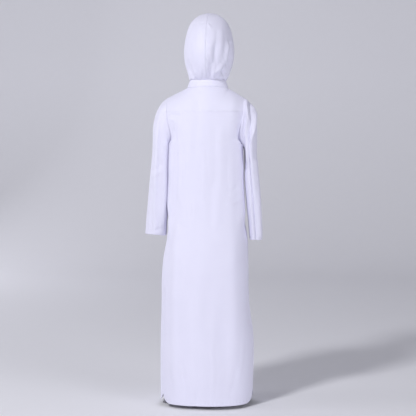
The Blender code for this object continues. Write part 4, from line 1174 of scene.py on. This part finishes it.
def hood_grid(way):
    """One half of the hood, from its front edge to the centre seam, which also runs over the crown."""
    steps = np.linspace(0.0, 1.0, HOOD_CELLS + 1)
    back_turn = (steps * np.pi / 2)[None, :]
    rise_turn = (steps * np.pi / 2)[:, None]
    run = np.sin(back_turn) * np.sqrt(1.0 - np.sin(rise_turn) ** 2 / 2)
    rise = np.sin(rise_turn) * np.sqrt(1.0 - np.sin(back_turn) ** 2 / 2)
    angle = np.arctan2(rise, np.maximum(run, TINY))
    square = HOOD_SQUARENESS
    swell = (np.abs(np.cos(angle)) ** square + np.abs(np.sin(angle)) ** square) ** (-1.0 / square)
    row_reach = np.sqrt(np.maximum(1.0 - rise**2, TINY))
    across = np.clip(run / row_reach, 0.0, 1.0)
    up = np.clip(rise * swell, 0.0, 1.0)
    depth_share = run * swell
    front = through(HOOD_SECTIONS, 2, up)
    back = through(HOOD_SECTIONS, 3, up)
    half = through(HOOD_SECTIONS, 1, np.clip(rise, 0.0, 1.0))
    pinch = 1.0 - HOOD_FRONT_PINCH * np.clip(1.0 - depth_share / HOOD_PINCH_REACH, 0.0, 1.0) ** 2
    x = half * np.sqrt(np.maximum(1.0 - across**2, 0.0)) * pinch
    y = front + (back - front) * depth_share
    z = COLLAR_HEIGHT + (HOOD_TOP_Z - COLLAR_HEIGHT) * up
    z -= HOOD_FRONT_DROP * np.clip(1.0 - depth_share / HOOD_DROP_REACH, 0.0, 1.0) ** 2 * up**2
    grid = np.stack([HOOD_CENTRE_X + way * x, y, z], axis=2)
    ring = neck_ring(way * HOOD_EDGE_ANGLE * (1.0 - steps), 1.0)
    ring[:, 2] += SEAM_GAP + HOOD_FOOT_GAP
    blend = (1.0 - smooth_step(up, 0.0, HOOD_GATHER_SHARE))[:, :, None]
    return grid + (ring[None] - grid[0][None]) * blend


def hood_sheet(way):
    """One half of the hood with its folds and gathers."""
    grid = hood_grid(way)
    facing = grid - np.array([HOOD_CENTRE_X, 0.0, HOOD_MIDDLE_Z])
    lift = grid[:, :, 2] - COLLAR_HEIGHT
    to_seam = smooth_step(np.abs(grid[:, :, 0] - HOOD_CENTRE_X), *FOLD_HOOD_SEAM_FADE)
    height = fold_height(HOOD_FOLDS, "hood", grid[:, :, 0], grid[:, :, 2])
    height *= smooth_step(grid[:, :, 1], *FOLD_HOOD_FRONT_FADE) * smooth_step(lift, *FOLD_HOOD_FOOT_FADE)
    height = (height + waver(grid, HOOD_WAVER)) * to_seam
    foot = run_lengths(grid[0])
    place = (foot[-1] - foot)[None, :]
    for where, size, width, length in HOOD_GATHERS:
        height += size * bump(place, where, width) * np.exp(-GATHER_FADE * np.maximum(lift, 0.0) / length)
    grid = grid + outward(grid, facing) * height[:, :, None]
    seam_x = HOOD_CENTRE_X + way * HOOD_SEAM_GAP / 2
    grid[-1, :, 0] = seam_x
    grid[:-1, -1, 0] = seam_x
    return Sheet(grid, facing)


def make_hood(side, cloth):
    way = 1.0 if side == "left" else -1.0
    sheet = hood_sheet(way)
    to_seam = np.abs(sheet.grid[:, :, 0] - HOOD_CENTRE_X)
    sheet.relief(to_seam, HOOD_SEAM_DIP, HOOD_SEAM_SWELL if side == "left" else None)
    sheet.raise_by(sheet.ripples(to_seam, sheet.grid[:, :, 2], HOOD_RIPPLE[3], HOOD_RIPPLE))
    sheet.relief(sheet.from_first, SEAM_DIP)
    sheet.turned_hem(sheet.from_left, sheet.along, HOOD_HEM_WIDTH)
    inside = HOOD_HEM_WIDTH - STITCH_INSET
    rows = np.arange(len(sheet.grid)) < HOOD_STITCH_ROWS
    sew(sheet.line(sheet.from_left, inside, by_column=False, keep=rows))
    sheet.normals[-1, :, 0] = 0.0
    sheet.normals[:, -1, 0] = 0.0
    sheet.normals = unit(sheet.normals)
    shell(f"robe_hood_{side}", sheet, CLOTH, cloth, f"hood_{side}")


def turned_disc():
    """A button's disc, spun from its profile."""
    mesh = bmesh.new()
    verts = [mesh.verts.new((r * BUTTON_RADIUS, 0.0, share * BUTTON_THICK)) for r, share in BUTTON_PROFILE]
    edges = [mesh.edges.new(pair) for pair in zip(verts[:-1], verts[1:])]
    bmesh.ops.spin(
        mesh,
        geom=verts + edges,
        axis=(0, 0, 1),
        cent=(0, 0, 0),
        angle=2 * math.pi,
        steps=BUTTON_STEPS,
        use_merge=True,
    )
    bmesh.ops.remove_doubles(mesh, verts=mesh.verts, dist=MERGE_DISTANCE)
    bmesh.ops.recalc_face_normals(mesh, faces=mesh.faces)
    return mesh


def rod(mesh, start, end, radius, sides, matrix):
    """A round rod between two points."""
    run = Vector(end) - Vector(start)
    lie = run.to_track_quat("Z", "Y").to_matrix().to_4x4()
    lie.translation = (Vector(start) + Vector(end)) / 2
    bmesh.ops.create_cone(
        mesh,
        cap_ends=True,
        segments=sides,
        radius1=radius,
        radius2=radius,
        depth=run.length,
        matrix=matrix @ lie,
    )


def button(name, centre, way, plastic, thread):
    """A four-hole shirt button: a turned disc with a raised rim, and a cross of thread."""
    way = Vector(way).normalized()
    side = Vector((0, 0, 1)).cross(way).normalized()
    turn = Matrix((side, way.cross(side), way)).transposed().to_4x4()
    turn.translation = Vector(centre) + way * BUTTON_LIFT
    spots = [(x * HOLE_PLACE, y * HOLE_PLACE) for x in (-1, 1) for y in (-1, 1)]
    body = added(name + "_disc", turned_disc(), plastic)
    cut = bmesh.new()
    for x, y in spots:
        rod(cut, (x, y, -BUTTON_THICK), (x, y, 2 * BUTTON_THICK), HOLE_RADIUS, HOLE_SIDES, Matrix())
    holes = added(name + "_holes", cut, plastic)
    drill = body.modifiers.new("holes", "BOOLEAN")
    drill.object = holes
    drill.operation = "DIFFERENCE"
    bpy.context.view_layer.update()
    drilled = bpy.data.meshes.new_from_object(body.evaluated_get(bpy.context.evaluated_depsgraph_get()))
    bpy.data.objects.remove(holes, do_unlink=True)
    bpy.data.objects.remove(body, do_unlink=True)
    mesh = bmesh.new()
    mesh.from_mesh(drilled)
    bmesh.ops.transform(mesh, matrix=turn, verts=mesh.verts)
    piece = finished("robe_" + name, mesh, plastic, [name])
    piece.data.set_sharp_from_angle(angle=BUTTON_SHARP)
    cross = bmesh.new()
    height = BUTTON_THICK * CROSS_HEIGHT
    for start, end in ((spots[0], spots[3]), (spots[1], spots[2])):
        rod(cross, (*start, height), (*end, height), CROSS_RADIUS, CROSS_SIDES, turn)
    finished(f"robe_{name}_thread", cross, thread)


def place_buttons(over, collar_spot, plastic, thread):
    middle = over.grid.shape[1] // 2
    run, ways = over.grid[:, middle], over.normals[:, middle]
    lengths = run_lengths(run)
    for name, down in BUTTON_PLACES:
        at = np.array([down])
        button(name, points_at(run, lengths, at)[0], points_at(ways, lengths, at)[0], plastic, thread)
    button("button_collar", *collar_spot, plastic, thread)


def make_floor():
    """A plain pale sweep: a floor that curves up into a wall behind the robe."""
    floor_z = HEM_Z - FLOOR_DROP
    section = [(SWEEP_FRONT_Y, floor_z), (SWEEP_BACK_Y, floor_z)]
    for step in range(1, SWEEP_BEND_STEPS + 1):
        turn = step / SWEEP_BEND_STEPS * math.pi / 2
        rise = SWEEP_BEND * (1.0 - math.cos(turn))
        section.append((SWEEP_BACK_Y - SWEEP_BEND * math.sin(turn), floor_z + rise))
    section.append((SWEEP_BACK_Y - SWEEP_BEND, floor_z + SWEEP_TOP))
    mesh = bmesh.new()
    verts = [mesh.verts.new((-SWEEP_HALF_WIDTH, y, z)) for y, z in section]
    edges = [mesh.edges.new(pair) for pair in zip(verts[:-1], verts[1:])]
    made = bmesh.ops.extrude_edge_only(mesh, edges=edges)
    moved = [part for part in made["geom"] if isinstance(part, bmesh.types.BMVert)]
    bmesh.ops.translate(mesh, verts=moved, vec=(2.0 * SWEEP_HALF_WIDTH, 0.0, 0.0))
    bmesh.ops.recalc_face_normals(mesh, faces=mesh.faces)
    added("sweep", mesh, painted_sweep())


def light_the_studio():
    world = bpy.data.worlds.new("soft_studio")
    world.use_nodes = True
    background = world.node_tree.nodes["Background"]
    background.inputs["Color"].default_value = srgb(WORLD_COLOUR)
    background.inputs["Strength"].default_value = WORLD_STRENGTH
    bpy.context.scene.world = world
    for name, place, target, size, power, colour in LIGHTS:
        light = bpy.data.lights.new(name, "AREA")
        light.shape = "RECTANGLE"
        light.size, light.size_y = size
        light.energy = power
        light.color = srgb(colour)[:3]
        lamp = bpy.data.objects.new(name, light)
        lamp.location = place
        lamp.visible_camera = False
        lamp.rotation_euler = (Vector(target) - Vector(place)).to_track_quat("-Z", "Y").to_euler()
        bpy.context.scene.collection.objects.link(lamp)


def place_camera():
    """The camera behind the robe, a little to its right, looking slightly down."""
    azimuth = math.radians(CAMERA_AZIMUTH)
    target = Vector(CAMERA_TARGET)
    away = CAMERA_DISTANCE * Vector((math.sin(azimuth), -math.cos(azimuth), 0.0))
    place = target + away
    place.z = CAMERA_Z
    camera = bpy.data.objects.new("camera", bpy.data.cameras.new("camera"))
    camera.location = place
    camera.rotation_euler = (target - place).to_track_quat("-Z", "Y").to_euler()
    camera.data.sensor_fit = "HORIZONTAL"
    camera.data.angle = 2.0 * math.atan(PICTURE_WIDTH / 2.0 / (target - place).length)
    bpy.context.scene.collection.objects.link(camera)
    bpy.context.scene.camera = camera
    bpy.context.scene.view_settings.view_transform = "Standard"


def main():
    cloth, thread, plastic = woven_cotton(), spun_thread(), moulded_button()
    make_back(cloth)
    make_front(cloth)
    make_yoke(cloth)
    over = make_plackets(cloth)
    for side in ("left", "right"):
        make_sleeve(side, cloth)
        make_hood(side, cloth)
    place_buttons(over, make_collar(cloth), plastic, thread)
    make_stitches(thread)
    make_floor()
    light_the_studio()
    place_camera()


main()
